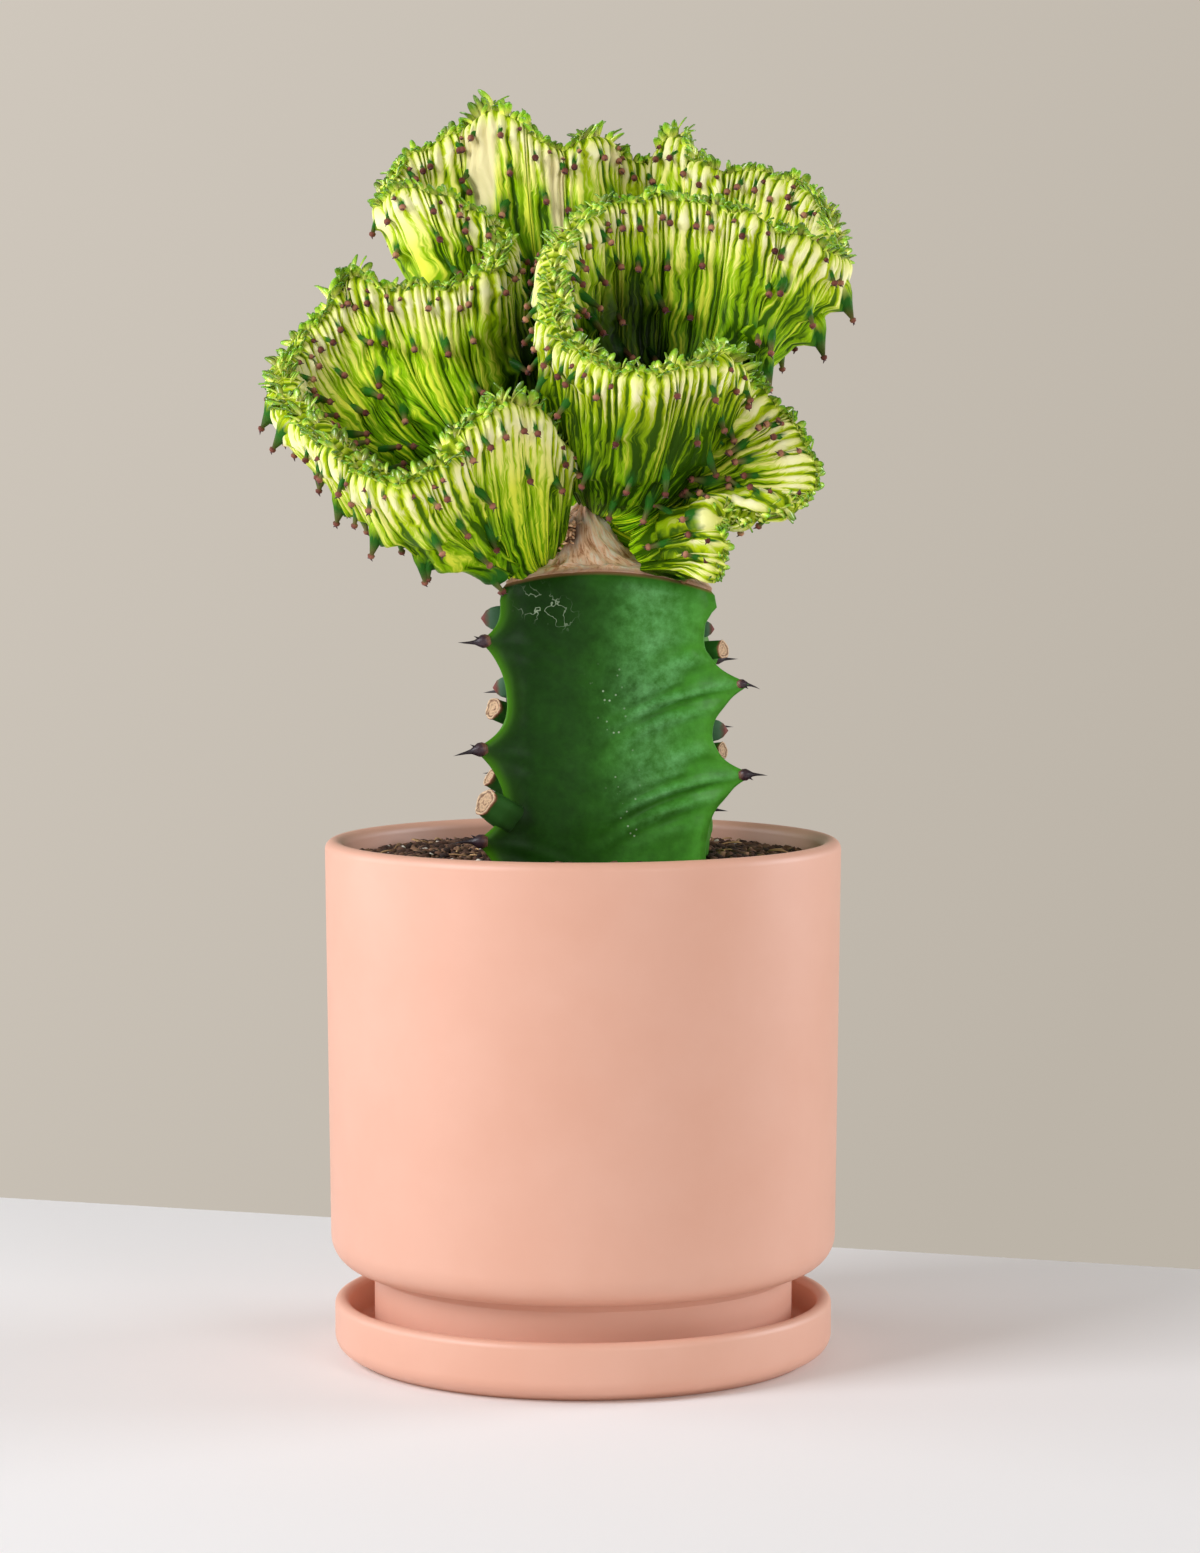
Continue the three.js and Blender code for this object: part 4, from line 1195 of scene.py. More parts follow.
@dataclass
class CrestFrill:
    """Small glossy curled leaves crowded along the growing edge."""

    sheet: CrestSheet
    step_mm: float = 0.38
    length_mm: float = 3.6
    torn_x: float = 20.0
    torn_z: float = 236.0
    torn: float = 0.7
    fan_deg: float = 45.0
    lengths: tuple = (0.55, 1.3)
    bends: tuple = (0.25, 0.85)
    thick_mm: float = 0.26
    tuft_mm: float = 10.0
    tuft_gain: float = 1.1
    steps: tuple = (0, 0.2, 0.4, 0.6, 0.8, 0.94, 1.0)
    paddle: tuple = (0.55, 0.8, 1.0, 1.0, 0.84, 0.5)
    tufts: tuple = ((-26, 46, 341), (4, 50, 337), (26, 58, 335), (-69, 10, 288), (-64, 12, 294),
                    (39, -34, 271), (-16, -44, 259))
    seed: int = 43

    def piece(self) -> Object:
        """Make all leaves as one mesh.

        Returns:
            The piece.
        """
        random = np.random.default_rng(self.seed)
        sheet = self.sheet
        pile = Pile()
        t = np.array(self.steps)[:, None]
        paddle = np.array(self.paddle)
        for place in np.arange(1, sheet.length - 1, self.step_mm):
            c = sheet.column(place + random.normal(0, 0.4))
            lean = random.uniform(-1, 1)
            angle = math.radians(self.fan_deg) * lean
            normal, edgeward, across = sheet.normal[c, 2], sheet.outward[c, 1], sheet.across[c, 1]
            root = (sheet.middle[c, 0] + normal * math.sin(angle) * (sheet.edge_half - 0.5)
                    + edgeward * ((math.cos(angle) - 1) * 3.4 - 0.5))
            tall = self.length_mm * random.uniform(*self.lengths) * (1 - 0.25 * abs(lean))
            gap = min(np.linalg.norm(root - np.array(tuft)) for tuft in self.tufts)
            tall *= 1 + self.tuft_gain * max(0.0, 1 - gap / self.tuft_mm)
            if root[0] > self.torn_x and root[2] < self.torn_z:
                tall *= self.torn
            aim = unit(edgeward * math.cos(angle * 0.8) + normal * math.sin(angle * 0.8)
                       + across * random.normal(0, 0.22) + normal * random.normal(0, 0.16))
            curl = unit(normal * (np.sign(lean) * random.uniform(0.2, 1.0)) + across * random.normal(0, 0.5)
                        - edgeward * random.uniform(0.1, 0.6))
            bent = curl * tall * random.uniform(*self.bends)
            path = root - aim * 0.8 + t * aim * (tall + 0.8) + t ** 2 * bent
            wide = random.uniform(0.85, 1.3) * (0.75 + 0.25 * tall / self.length_mm) * paddle
            side = unit(np.cross(aim, curl) + across * 0.15)
            pile.add_horn(path, wide, np.full(len(wide), self.thick_mm), side, 4, random.random())
        return pile.piece("crest_frill")


@dataclass
class CrestNeck:
    """The ribbed neck of the crest in the callus, and its arm to the lowest lobes.

    The neck's rings hold height, radius and stretch in x, the arm's rows x, y, z and radius.
    """

    sheet: CrestSheet
    neck_rings: tuple = ((217, 8.2, 1.0), (221, 8.4, 1.0), (225, 9.0, 1.15), (229, 10.6, 1.3),
                         (234, 11.0, 1.36), (240, 10.2, 1.36), (246, 7.2, 1.36), (251, 3.4, 1.3))
    arm: tuple = ((2, -1, 232, 5.0), (7, -4, 228, 5.0), (12, -8, 225, 4.4), (17, -12, 222, 3.4),
                  (22, -17, 220, 2.4), (26, -21, 219, 1.4))
    neck_rib: float = 0.9
    neck_depth: float = 80.0
    arm_rib: float = 0.35
    arm_depth: float = 58.0
    around: int = 96

    def pieces(self) -> tuple[Object, Object]:
        """Make the neck and the arm.

        Returns:
            Both pieces.
        """
        turn = turns(self.around)
        ribs = np.abs(np.sin(turn * 7 + 0.4))[:, None] ** 0.7 - 0.6
        rings = []
        for z, radius, stretch in self.neck_rings:
            r = radius + self.neck_rib * ribs
            centre = (self.sheet.neck_x, self.sheet.neck_y, z)
            rings.append(hoop(centre, r * stretch * ACROSS, r * BACK, turn))
        neck = self.lofted("crest_neck", rings, self.neck_depth)
        path = np.array(self.arm)[:, :3]
        heading = unit(np.gradient(path, axis=0))
        rings = []
        for at, way, (_, _, _, radius) in zip(path, heading, self.arm):
            side = unit(np.cross(UP, way))
            r = radius + self.arm_rib * ribs
            rings.append(hoop(at, r * side, r * 1.08 * np.cross(way, side), turn))
        return neck, self.lofted("crest_arm", rings, self.arm_depth)

    def lofted(self, name: str, rings: list, depth: float) -> Object:
        """Join rings to a closed piece with the sheet's marks.

        Args:
            name: The piece's name.
            rings: Rings of points.
            depth: What the skin takes as distance below the edge.

        Returns:
            The piece.
        """
        points = np.concatenate([*rings, rings[0].mean(0, keepdims=True), rings[-1].mean(0, keepdims=True)])
        steps = np.repeat(np.arange(len(rings)), self.around)
        blank = np.zeros(len(points))
        # The neck gets a little painted light.
        marks = {"edge_mm": np.append(depth - 2.0 * steps, [depth, depth]), "tooth": blank, "cream": blank,
                 "knob": blank, "gloom": blank - 0.5, "pale": blank + 0.02}
        across = np.append(np.tile(turns(self.around) * 14, len(rings)), [0, 0])
        uv = np.stack([across + 300, np.append(steps * 5.0, [0, 0])], 1)
        return new_piece(name, points, tube_faces(len(rings), self.around), marks, uv)


@dataclass(frozen=True)
class Wing:
    """One toothed wing of the rootstock: which corner it takes, how far it reaches between its
    teeth at given heights, the height and size of its teeth, and how deep its folds are."""

    side: tuple
    base: tuple
    teeth: tuple
    fold: float
    over: float = 4.4
    under: float = 7.4

    def reach(self, z: float) -> float:
        """Reach of the wing at a height.

        Args:
            z: The height.

        Returns:
            The reach, teeth included.
        """
        table = np.array(self.base)
        total = float(np.interp(z, table[:, 0], table[:, 1]))
        for level, size in self.teeth:
            flank = self.over if z > level else self.under
            total += size * math.exp(-(abs(z - level) / flank) ** 1.3)
        return total


@dataclass
class Rootstock:
    """The winged stem under the graft: four toothed wings and the spines on their teeth."""

    centre_x: float = 7.0
    centre_y: float = -1.5
    half_depth: float = 25.0
    wing_root: float = 26.0
    wing_tip: float = 2.6
    hollow: float = 1.4
    bulge: float = 2.0
    bottom: float = 99.0
    top_level: float = 209.4
    top_peak: float = 214.6
    top_fall: float = 5.0
    around: int = 240
    level_mm: float = 0.5
    fold_mm: float = 7.0
    rough_mm: float = 0.4
    # A painted highlight on the right of the front face: its strength, its middle and half width in x, and
    # the heights over which it comes in.
    sheen: float = 0.62
    sheen_x: tuple = (19.0, 9.0)
    sheen_from: tuple = (140, 165)
    shoulder: tuple = ((0.02, -1.4), (0.06, -0.4), (0.13, 0.0), (0.55, 0.4))
    bulb: tuple = (1.25, 1.85, 1.85, 1.2, 0.66, 0.4, 0.22)
    bulb_steps: tuple = (-1.8, -0.7, 0.5, 1.6, 2.5, 3.9, 5.6, 7.3)
    needle: tuple = (0.6, 0.4, 0.2)
    needle_steps: tuple = (0.2, 1.4, 2.5, 3.4)
    wings: tuple = (
        Wing((-1, -1), ((98, 26), (141, 27.2), (155, 26.6), (180, 26.6), (200, 27.4), (212, 29)),
             ((142.8, 7.0), (167.2, 7.6), (197.0, 6.0)), 0.35),
        Wing((1, -1), ((98, 25), (138, 25.6), (150, 25.8), (171, 25.8), (198, 25), (203, 25.6), (207, 27.2),
                       (212, 30.2)), ((160.6, 10.2), (184.6, 9.8)), 1.8),
        Wing((1, 1), ((98, 22), (212, 23.5)), ((147, 5.0), (170, 5.5), (188.5, 7.0)), 0.6),
        Wing((-1, 1), ((98, 22), (212, 23.5)), ((157, 5.5), (180, 5.0), (202, 5.5)), 0.6),
    )
    seed: int = 61

    def top_at(self, x: np.ndarray) -> np.ndarray:
        """Height of the arched cut."""
        return self.top_peak - self.top_fall * ((x - 4) / 30) ** 2

    def arch(self, x: np.ndarray, z: float) -> np.ndarray:
        """How far the arch of the cut lifts a level of the stem."""
        return (self.top_at(x) - 4 - self.top_level) * smoothstep(190, self.top_level, z)

    def edge_point(self, wing: Wing, reach: float) -> np.ndarray:
        """Plan position of a wing's edge at a reach."""
        depth = self.half_depth + (reach - self.wing_root) * 0.3
        return np.array([self.centre_x + wing.side[0] * reach, self.centre_y + wing.side[1] * depth, 0.0])

    def ring(self, z: float) -> tuple[np.ndarray, np.ndarray, np.ndarray]:
        """One level of the stem.

        Args:
            z: Its height.

        Returns:
            Points, each one's distance from the nearest wing edge, and the number of that wing.
        """
        corners = []
        for w, wing in enumerate(self.wings):
            pair = (wing, self.wings[(w + 1) % 4])
            tips = [self.edge_point(one, one.reach(z)) for one in pair]
            roots = [self.edge_point(one, min(self.wing_root, one.reach(z))) for one in pair]
            span = roots[1] - roots[0]
            along = unit(span)
            out = np.array([along[1], -along[0], 0.0])
            corners += [tips[0] + along * self.wing_tip / 2, roots[0] + span * 0.13 - out * self.hollow,
                        roots[0] + span * 0.5 + out * self.bulge, roots[0] + span * 0.87 - out * self.hollow,
                        tips[1] - along * self.wing_tip / 2]
        closed = np.array(corners)
        count = len(closed)
        places = np.linspace(0, count, self.around, endpoint=False)
        base = places.astype(int)
        t = (places - base)[:, None]
        p0, p1, p2, p3 = (closed[(base + k) % count] for k in (-1, 0, 1, 2))
        ring = 0.5 * (2 * p1 + (p2 - p0) * t + (2 * p0 - 5 * p1 + 4 * p2 - p3) * t ** 2
                      + (3 * p1 - p0 - 3 * p2 + p3) * t ** 3)
        ring[:, 2] = z
        tips = np.array([self.edge_point(wing, wing.reach(z)) for wing in self.wings])
        gaps = np.linalg.norm(ring[:, None, :2] - tips[None, :, :2], axis=2)
        return ring, gaps.min(1), gaps.argmin(1)

    def relief(self, z: float, gap: np.ndarray, wing: np.ndarray) -> np.ndarray:
        """Soft folds that run from every tooth over the faces beside it and sink as they go.

        Args:
            z: The level's height.
            gap: Each point's distance from the nearest wing edge.
            wing: The number of that wing.

        Returns:
            How far each point stands out.
        """
        lift = np.zeros_like(gap)
        for w, one in enumerate(self.wings):
            mine = wing == w
            far = gap[mine]
            fade = (1 - np.exp(-far / 2.5)) * np.exp(-(far / 19) ** 2)
            for level, _ in one.teeth:
                off = z - level + 0.06 * far + 0.014 * far ** 2
                wave = np.cos(off * FULL_TURN / self.fold_mm)
                lift[mine] += one.fold * wave * np.exp(-(off / 10) ** 2) * fade
        return lift

    def piece(self) -> Object:
        """Make the stem.

        Returns:
            The piece.
        """
        levels = np.arange(self.bottom, self.top_level, self.level_mm)
        centre = np.array([self.centre_x, self.centre_y, 0.0])
        rings, painted_sheen, edge = [], [], []
        for z in levels:
            ring, gap, wing = self.ring(z)
            lift = self.relief(z, gap, wing)
            flat = ring - centre
            flat[:, 2] = 0
            rough = np.array([noise.noise(Vector(p) / 9) for p in ring]) * self.rough_mm
            ring = ring + unit(flat) * (lift + rough)[:, None]
            ring[:, 2] += self.arch(ring[:, 0], z)
            rings.append(ring)
            # Painted sheen: a highlight on the right of the front face and on the raised folds.
            middle, half = self.sheen_x
            sheen = self.sheen * np.exp(-((ring[:, 0] - middle) / half) ** 2) * (ring[:, 1] < 0)
            sheen = sheen * smoothstep(*self.sheen_from, z)
            painted_sheen.append(np.clip(sheen * (1 + 0.9 * lift) + 0.25 * lift * (ring[:, 0] > 0), 0, 0.8))
            # A little brighter green along every wing edge, with painted light along the left front wing's
            # edge.
            edge.append(0.5 * np.clip(1 - gap / 3, 0, 1) * (wing == 0) + 0.2 * np.clip(1 - gap / 6, 0, 1))
        last = rings[-1]
        for inset, rise in self.shoulder:
            ring = last + (centre - last) * inset
            ring[:, 2] = self.top_at(ring[:, 0]) + rise
            rings.append(ring)
        heart = np.array([[self.centre_x, self.centre_y, self.top_peak + 0.4]])
        foot = np.array([[self.centre_x, self.centre_y, self.bottom]])
        points = np.concatenate([*rings, foot, heart])
        cork = np.zeros(len(points))
        cork[(len(levels) + 1) * self.around:-2] = 1.0
        plain = np.zeros(len(self.shoulder) * self.around + 2)
        trail, scratch = self.scar_masks(points)
        marks = {"painted_sheen": np.concatenate([*painted_sheen, plain]), "edge": np.concatenate([*edge, plain]),
                 "cork": cork, "specks": trail, "scratch": scratch}
        return new_piece("rootstock_stem", points, tube_faces(len(rings), self.around), marks)

    @staticmethod
    def scar_masks(points: np.ndarray) -> tuple[np.ndarray, np.ndarray]:
        """Where pale specks and where fine scratches lie on the front face.

        Args:
            points: The stem's points.

        Returns:
            Both masks.
        """
        x, y, z = points.T
        trail = np.exp(-((x - 10 + 0.16 * (z - 165)) / 3.2) ** 2) * (z < 190) * (z > 141)
        scratch = np.exp(-((x + 10) / 6.5) ** 4 - ((z - 201.5 + 0.3 * x) / 3.6) ** 4)
        front = y < -15
        return np.where(front, 0.85 * trail, 0), np.where(front, 0.8 * scratch, 0)

    def spines(self) -> Object:
        """Make the dark swollen foot and the needle on every tooth, with a second, short needle.

        Returns:
            The piece.
        """
        random = np.random.default_rng(self.seed)
        pile = Pile()
        steps, swell, needle = np.array(self.bulb_steps), np.array(self.bulb), np.array(self.needle_steps)
        for wing in self.wings:
            for level, _ in wing.teeth:
                tip = self.edge_point(wing, wing.reach(level) - 0.2)
                tip[2] = level + self.arch(tip[0], level)
                aim = unit(np.array([wing.side[0], wing.side[1] * random.uniform(0.0, 0.25),
                                     random.uniform(-0.25, 0.1)]))
                size = random.uniform(0.85, 1.1) * (0.8 if wing.side[0] > 0 else 1.0)
                droop = UP * random.normal(0, 0.5)
                path = tip + np.outer(steps * size, aim) + np.outer((steps / 7) ** 2, droop)
                pile.add_horn(path, swell * size, swell * size * 0.9, UP, 10, random.random())
                short = unit(aim + UP * random.choice([-0.7, 0.7]) + wing.side[1] * 0.3 * BACK)
                path = tip + np.outer(needle * size, short)
                pile.add_horn(path, self.needle, self.needle, UP, 6, random.random(), start=0.3)
        return pile.piece("rootstock_spines")


@dataclass
class Stumps:
    """Side shoots of the rootstock cut short, with dried pale faces, and the withered leaf flaps.

    A shoot is told by the middle of its cut, its aim, its length and the radii of cut and foot, a flap
    by its foot, aim, length and half width. The profile's rows hold the share of the length, the share
    of the way from the foot's radius to the cut's, or of the cut's radius on its face, and the colour.
    """

    cut: tuple = (
        ((-25.9, -28.8, 153.4), (-0.72, -0.5, 0.48), 9.5, 3.6, 4.6),
        ((-23.9, -21, 177.7), (-0.75, -0.58, 0.33), 12, 2.8, 3.1),
        ((-25.2, -9, 158.4), (-0.8, -0.3, 0.5), 12, 2.4, 2.6),
        ((37.4, -22, 193.3), (0.82, -0.55, 0.12), 9, 2.3, 2.6),
        ((37.4, -18, 166.2), (0.8, -0.55, 0.15), 9, 2.1, 2.3),
    )
    flaps: tuple = (
        ((-15, -4, 200.5), (-1, 0, 0.08), 12.6, 3.3), ((-14, -5, 182.2), (-1, 0, 0.06), 10.4, 2.9),
        ((-12, -10, 208.5), (-1, 0, 0.0), 11, 1.8), ((27, -10, 198), (1, 0, 0.1), 8.4, 2.3),
        ((27, -8, 170.8), (1, 0, 0.05), 12.2, 3.0),
    )
    profile: tuple = ((0, 0.0, 0.0), (0.5, 0.35, 0.05), (0.8, 0.75, 0.12), (0.93, 1.0, 0.4),
                      (0.99, 1.06, 0.58), (1.02, 0.98, 0.66), (1.0, 0.82, 0.78), (0.98, 0.5, 0.9),
                      (0.985, 0.22, 0.84))
    flap_girth: tuple = (0.75, 0.86, 0.95, 1.0, 1.04, 1.04, 1.0, 0.88, 0.62)
    around: int = 28

    def shoots(self) -> Object:
        """Make the cut stumps.

        Returns:
            The piece.
        """
        pile = Pile()
        turn = turns(self.around)
        for number, (face, aim, length, radius, foot) in enumerate(self.cut):
            axis = unit(np.array(aim, float))
            side = unit(np.cross(UP, axis))
            lumps = (1 + 0.07 * np.sin(turn * 3 + number) + 0.05 * np.sin(turn * 5 + 2 * number))[:, None]
            start = np.array(face, float) - axis * length
            rings, along = [], []
            for place, share, colour in self.profile:
                r = (foot + (radius - foot) * min(share, 1) if colour < 0.5 else radius * share) * lumps
                rings.append(hoop(start + axis * length * place, r * side, r * np.cross(axis, side), turn))
                along.append(np.full(self.around, colour))
            points = np.concatenate([*rings, [start], [start + axis * length * 0.975]])
            pile.add(points, tube_faces(len(rings), self.around), along=np.concatenate([*along, [0, 0.9]]),
                     tone=0.35 + 0.1 * (number % 4))
        return pile.piece("rootstock_stumps")

    def leaves(self) -> Object:
        """Make the withered flaps.

        Returns:
            The piece.
        """
        pile = Pile()
        t = np.linspace(0, 1, 10)[:, None]
        for number, (foot, aim, length, wide) in enumerate(self.flaps):
            axis = unit(np.array(aim, float))
            path = np.array(foot, float) + t * axis * length - UP * t ** 2 * 0.6
            width = wide * np.array(self.flap_girth)
            pile.add_horn(path, width, width * 0.34, UP, 16, 0.3 + 0.15 * (number % 3))
        return pile.piece("rootstock_flaps")


@dataclass
class GraftCallus:
    """The corky mound over the graft, rising steeply to a crumbly peak before the neck.

    The foot's rows hold how far a ring is drawn in and its rise over the cut, the steps' rows x, y,
    both half axes and height.
    """

    stock: Rootstock
    inset: float = 0.07
    foot: tuple = ((-0.01, -0.9), (-0.01, 0.2), (0.05, 1.1))
    blends: tuple = (0.25, 0.5, 0.75)
    steps: tuple = ((3.0, -4, 17.4, 20.6, 216.2), (1.9, -5, 13.6, 18.6, 218.2), (1.2, -6, 10.8, 16.8, 220.6),
                    (0.6, -7, 8.6, 15.0, 223.2), (0.4, -8, 6.8, 13.0, 226.0), (0.4, -9, 5.0, 10.6, 228.6),
                    (0.6, -10, 3.2, 7.6, 231.0), (0.9, -10.5, 1.6, 3.8, 232.6))
    hole: tuple = (-3.6, -20.6, 224.5)
    hole_mm: float = 4.2
    crumbs: int = 80
    peel_half: tuple = (0.9, 0.32)
    peel: tuple = ((18.5, -27, 214.6), (20.5, -28.2, 217.0), (24, -28.6, 217.6), (26.6, -28.4, 215.4),
                   (26.2, -28.0, 213.2), (24.4, -27.6, 213.4))
    seed: int = 67

    def piece(self) -> Object:
        """Make the mound.

        Returns:
            The piece.
        """
        centre = np.array([self.stock.centre_x, self.stock.centre_y, 0.0])
        rim, _, _ = self.stock.ring(self.stock.top_level)
        outline = rim + (centre - rim) * self.inset
        angle = np.arctan2(outline[:, 1] - centre[1], outline[:, 0] - centre[0])
        rings = []
        for inset, rise in self.foot:
            ring = outline + (centre - outline) * inset
            ring[:, 2] = self.stock.top_at(ring[:, 0]) + rise
            rings.append(ring)
        steps = [hoop((x, y, z), rx * ACROSS, ry * BACK, angle) for x, y, rx, ry, z in self.steps]
        last = rings[-1]
        rings += [last + (steps[0] - last) * blend for blend in self.blends]
        rings += steps
        for number, ring in enumerate(rings[1:], 1):
            axis = unit(ring - ring.mean(0))
            for k, p in enumerate(ring):
                fold = math.sin(angle[k] * 13 + p[2] * 0.5) * (0.5 if number > 5 else 0.12)
                wobble = fold + noise.fractal(Vector(p) / 3.4, 0.7, 2.1, 5) * (1.3 if number > 3 else 0.5)
                ring[k] = p + axis[k] * wobble + UP * wobble * 0.5
        count, around = len(rings), len(angle)
        x, y, *_, z = self.steps[-1]
        points = np.concatenate([*rings, rings[0].mean(0, keepdims=True), [(x, y, z)]])
        depth = np.append(np.repeat(np.arange(count)[::-1] * 2.6, around), [0, 0])
        gap = np.linalg.norm(points - np.array(self.hole), axis=1) / self.hole_mm
        crust = np.append(np.repeat(np.where(np.arange(count) < 2, 0.8, 0.0), around), [0, 0])
        marks = {"hollow": np.clip(1.5 - gap, 0, 1), "crust": crust}
        uv = np.stack([np.append(np.tile(angle * 9, count), [0, 0]), depth], 1)
        return new_piece("callus_mound", points, tube_faces(count, around), marks, uv)

    def chips(self) -> Object:
        """Make the crumbs in the hollow and the curled peel of dried skin beside the mound.

        Returns:
            The piece.
        """
        random = np.random.default_rng(self.seed)
        pile = Pile()
        for _ in range(self.crumbs):
            at = np.array(self.hole) + random.normal(0, 1, 3) * np.array([1.3, 0.6, 2.6])
            aim = unit(random.normal(0, 1, 3))
            path = at + np.linspace(-1, 1, 4)[:, None] * aim * random.uniform(0.4, 1.1)
            wide = random.uniform(0.25, 0.6) * np.array([0.8, 1.0, 0.8])
            pile.add_horn(path, wide, wide * 0.7, unit(np.cross(aim, UP)), 5, random.random())
        rows = np.array(self.peel)
        path = np.stack([np.interp(np.linspace(0, 5, 22), np.arange(6), rows[:, k]) for k in range(3)], 1)
        wide, thick = (np.full(len(path) - 1, half) for half in self.peel_half)
        pile.add_horn(path, wide, thick, BACK, 6, 0.4)
        return pile.piece("callus_chips")


@dataclass
class Soil:
    """Potting mix up to a finger's width below the rim, with crumbs, pale fibres and white grit."""

    radius: float = 64.7
    level: float = 135.2
    shoulder: float = 38.5
    bottom: float = 12.3
    foot_radius: float = 51.0
    crown: float = 1.3
    stock_box: tuple = (7.5, -1.5, 27.0, 25.0)
    insets: int = 22
    fibre_count: int = 60
    fibre_mm: tuple = (3, 8)
    fibre_half: tuple = (0.32, 0.2)
    seed: int = 71

    def height(self, r: float) -> float:
        """How far the bed's crown rises at a radius."""
        return self.crown * (1 - (r / self.radius) ** 2)

    def spot(self, random: np.random.Generator, inset: float, nearest: float) -> tuple[float, float, float]:
        """Pick a spot on the bed.

        Args:
            random: The source of chance.
            inset: How far it keeps from the pot.
            nearest: Smallest share of the bed's area inside it.

        Returns:
            Its radius, x and y.
        """
        r = (self.radius - inset) * math.sqrt(random.uniform(nearest, 1))
        a = random.uniform(0, FULL_TURN)
        return r, r * math.cos(a), r * math.sin(a)

    def in_stock(self, x: float, y: float, margin: float = 0.0) -> bool:
        """Whether a spot lies under the rootstock."""
        middle_x, middle_y, half_x, half_y = self.stock_box
        return abs(x - middle_x) < half_x + margin and abs(y - middle_y) < half_y + margin

    def bed(self) -> Object:
        """Model the bed: a round plug, subdivided on top and roughened.

        Returns:
            The piece.
        """
        bpy.ops.object.select_all(action="DESELECT")
        bpy.ops.mesh.primitive_cylinder_add(vertices=96, radius=self.radius * MM,
                                            depth=(self.level - self.bottom) * MM,
                                            location=(0, 0, (self.level + self.bottom) / 2 * MM))
        bed = bpy.context.object
        bed.name = "soil_bed"
        bpy.ops.object.transform_apply(location=True)
        bpy.ops.object.mode_set(mode="EDIT")
        bpy.ops.mesh.select_all(action="SELECT")
        bpy.ops.mesh.bisect(plane_co=(0, 0, self.shoulder * MM), plane_no=(0, 0, 1))
        bpy.ops.mesh.select_all(action="DESELECT")
        mesh = bmesh.from_edit_mesh(bed.data)
        mesh.faces.ensure_lookup_table()
        for face in mesh.faces:
            face.select = face.normal.z > 0.9
        bmesh.update_edit_mesh(bed.data)
        for _ in range(self.insets):
            bpy.ops.mesh.inset(thickness=self.radius * MM / 24)
        bpy.ops.object.mode_set(mode="OBJECT")
        for vertex in bed.data.vertices:
            x, y, z = vertex.co / MM
            if z < self.shoulder - 1:
                vertex.co.x *= self.foot_radius / self.radius
                vertex.co.y *= self.foot_radius / self.radius
            if z > self.level - 1:
                r = math.hypot(x, y)
                rough = noise.fractal(Vector((x, y, 3.0)) / 5, 0.7, 2.1, 4) * 0.9
                vertex.co.z += (self.height(r) + rough * (1 if r < self.radius - 1 else 0.4)) * MM
        bed.data.shade_smooth()
        return bed

    def scatter(self, name: str, count: int, size: tuple, flat: float, long: float) -> Object:
        """Strew small rough grains over the bed.

        Args:
            name: The piece's name.
            count: How many.
            size: Smallest and largest radius.
            flat: Height as a share of the width.
            long: Length as a share of the width.

        Returns:
            The piece.
        """
        random = np.random.default_rng(self.seed + count)
        bpy.ops.object.select_all(action="DESELECT")
        bpy.ops.mesh.primitive_ico_sphere_add(subdivisions=1, radius=1)
        seed_grain = bpy.context.object
        ball = np.array([v.co[:] for v in seed_grain.data.vertices])
        faces = [list(p.vertices) for p in seed_grain.data.polygons]
        bpy.data.objects.remove(seed_grain)
        pile = Pile()
        for _ in range(count):
            r, x, y = self.spot(random, 1.5, 0.05)
            if self.in_stock(x, y):
                continue
            grain = ball * (1 + 0.22 * random.standard_normal((len(ball), 1)))
            grain = grain * np.array([long, 1.0, flat]) * random.uniform(*size)
            spin = np.array(Matrix.Rotation(random.uniform(0, 6.28), 3, "Z")
                            @ Matrix.Rotation(random.normal(0, 0.4), 3, "X"))
            z = self.level + self.height(r) + random.uniform(0, 0.5)
            pile.add(grain @ spin.T + np.array([x, y, z]), faces, along=random.random(), tone=random.random())
        return pile.piece(name)

    def fibres(self) -> Object:
        """Lay pale root and husk fibres on the bed.

        Returns:
            The piece.
        """
        random = np.random.default_rng(self.seed + 9)
        pile = Pile()
        t = np.linspace(0, 1, 6)[:, None]
        for _ in range(self.fibre_count):
            _, x, y = self.spot(random, 4, 0.2)
            if self.in_stock(x, y, 2.0):
                continue
            way = random.uniform(0, FULL_TURN)
            aim = np.array([math.cos(way), math.sin(way), random.normal(0, 0.15)])
            side = np.cross(aim, UP)
            length = random.uniform(*self.fibre_mm)
            path = (np.array([x, y, self.level + 1.5]) + (t - 0.5) * aim * length
                    + np.sin(t * 3.1) * side * random.normal(0, 1.4)
                    + UP * (np.sin(t * 3.1) - 0.3) * random.uniform(0.2, 1.2))
            if (np.hypot(path[:, 0], path[:, 1]) > self.radius - 1).any():
                continue
            wide, thick = (np.full(len(path) - 1, half) for half in self.fibre_half)
            pile.add_horn(path, wide, thick, side, 4, random.random())
        return pile.piece("soil_fibres")


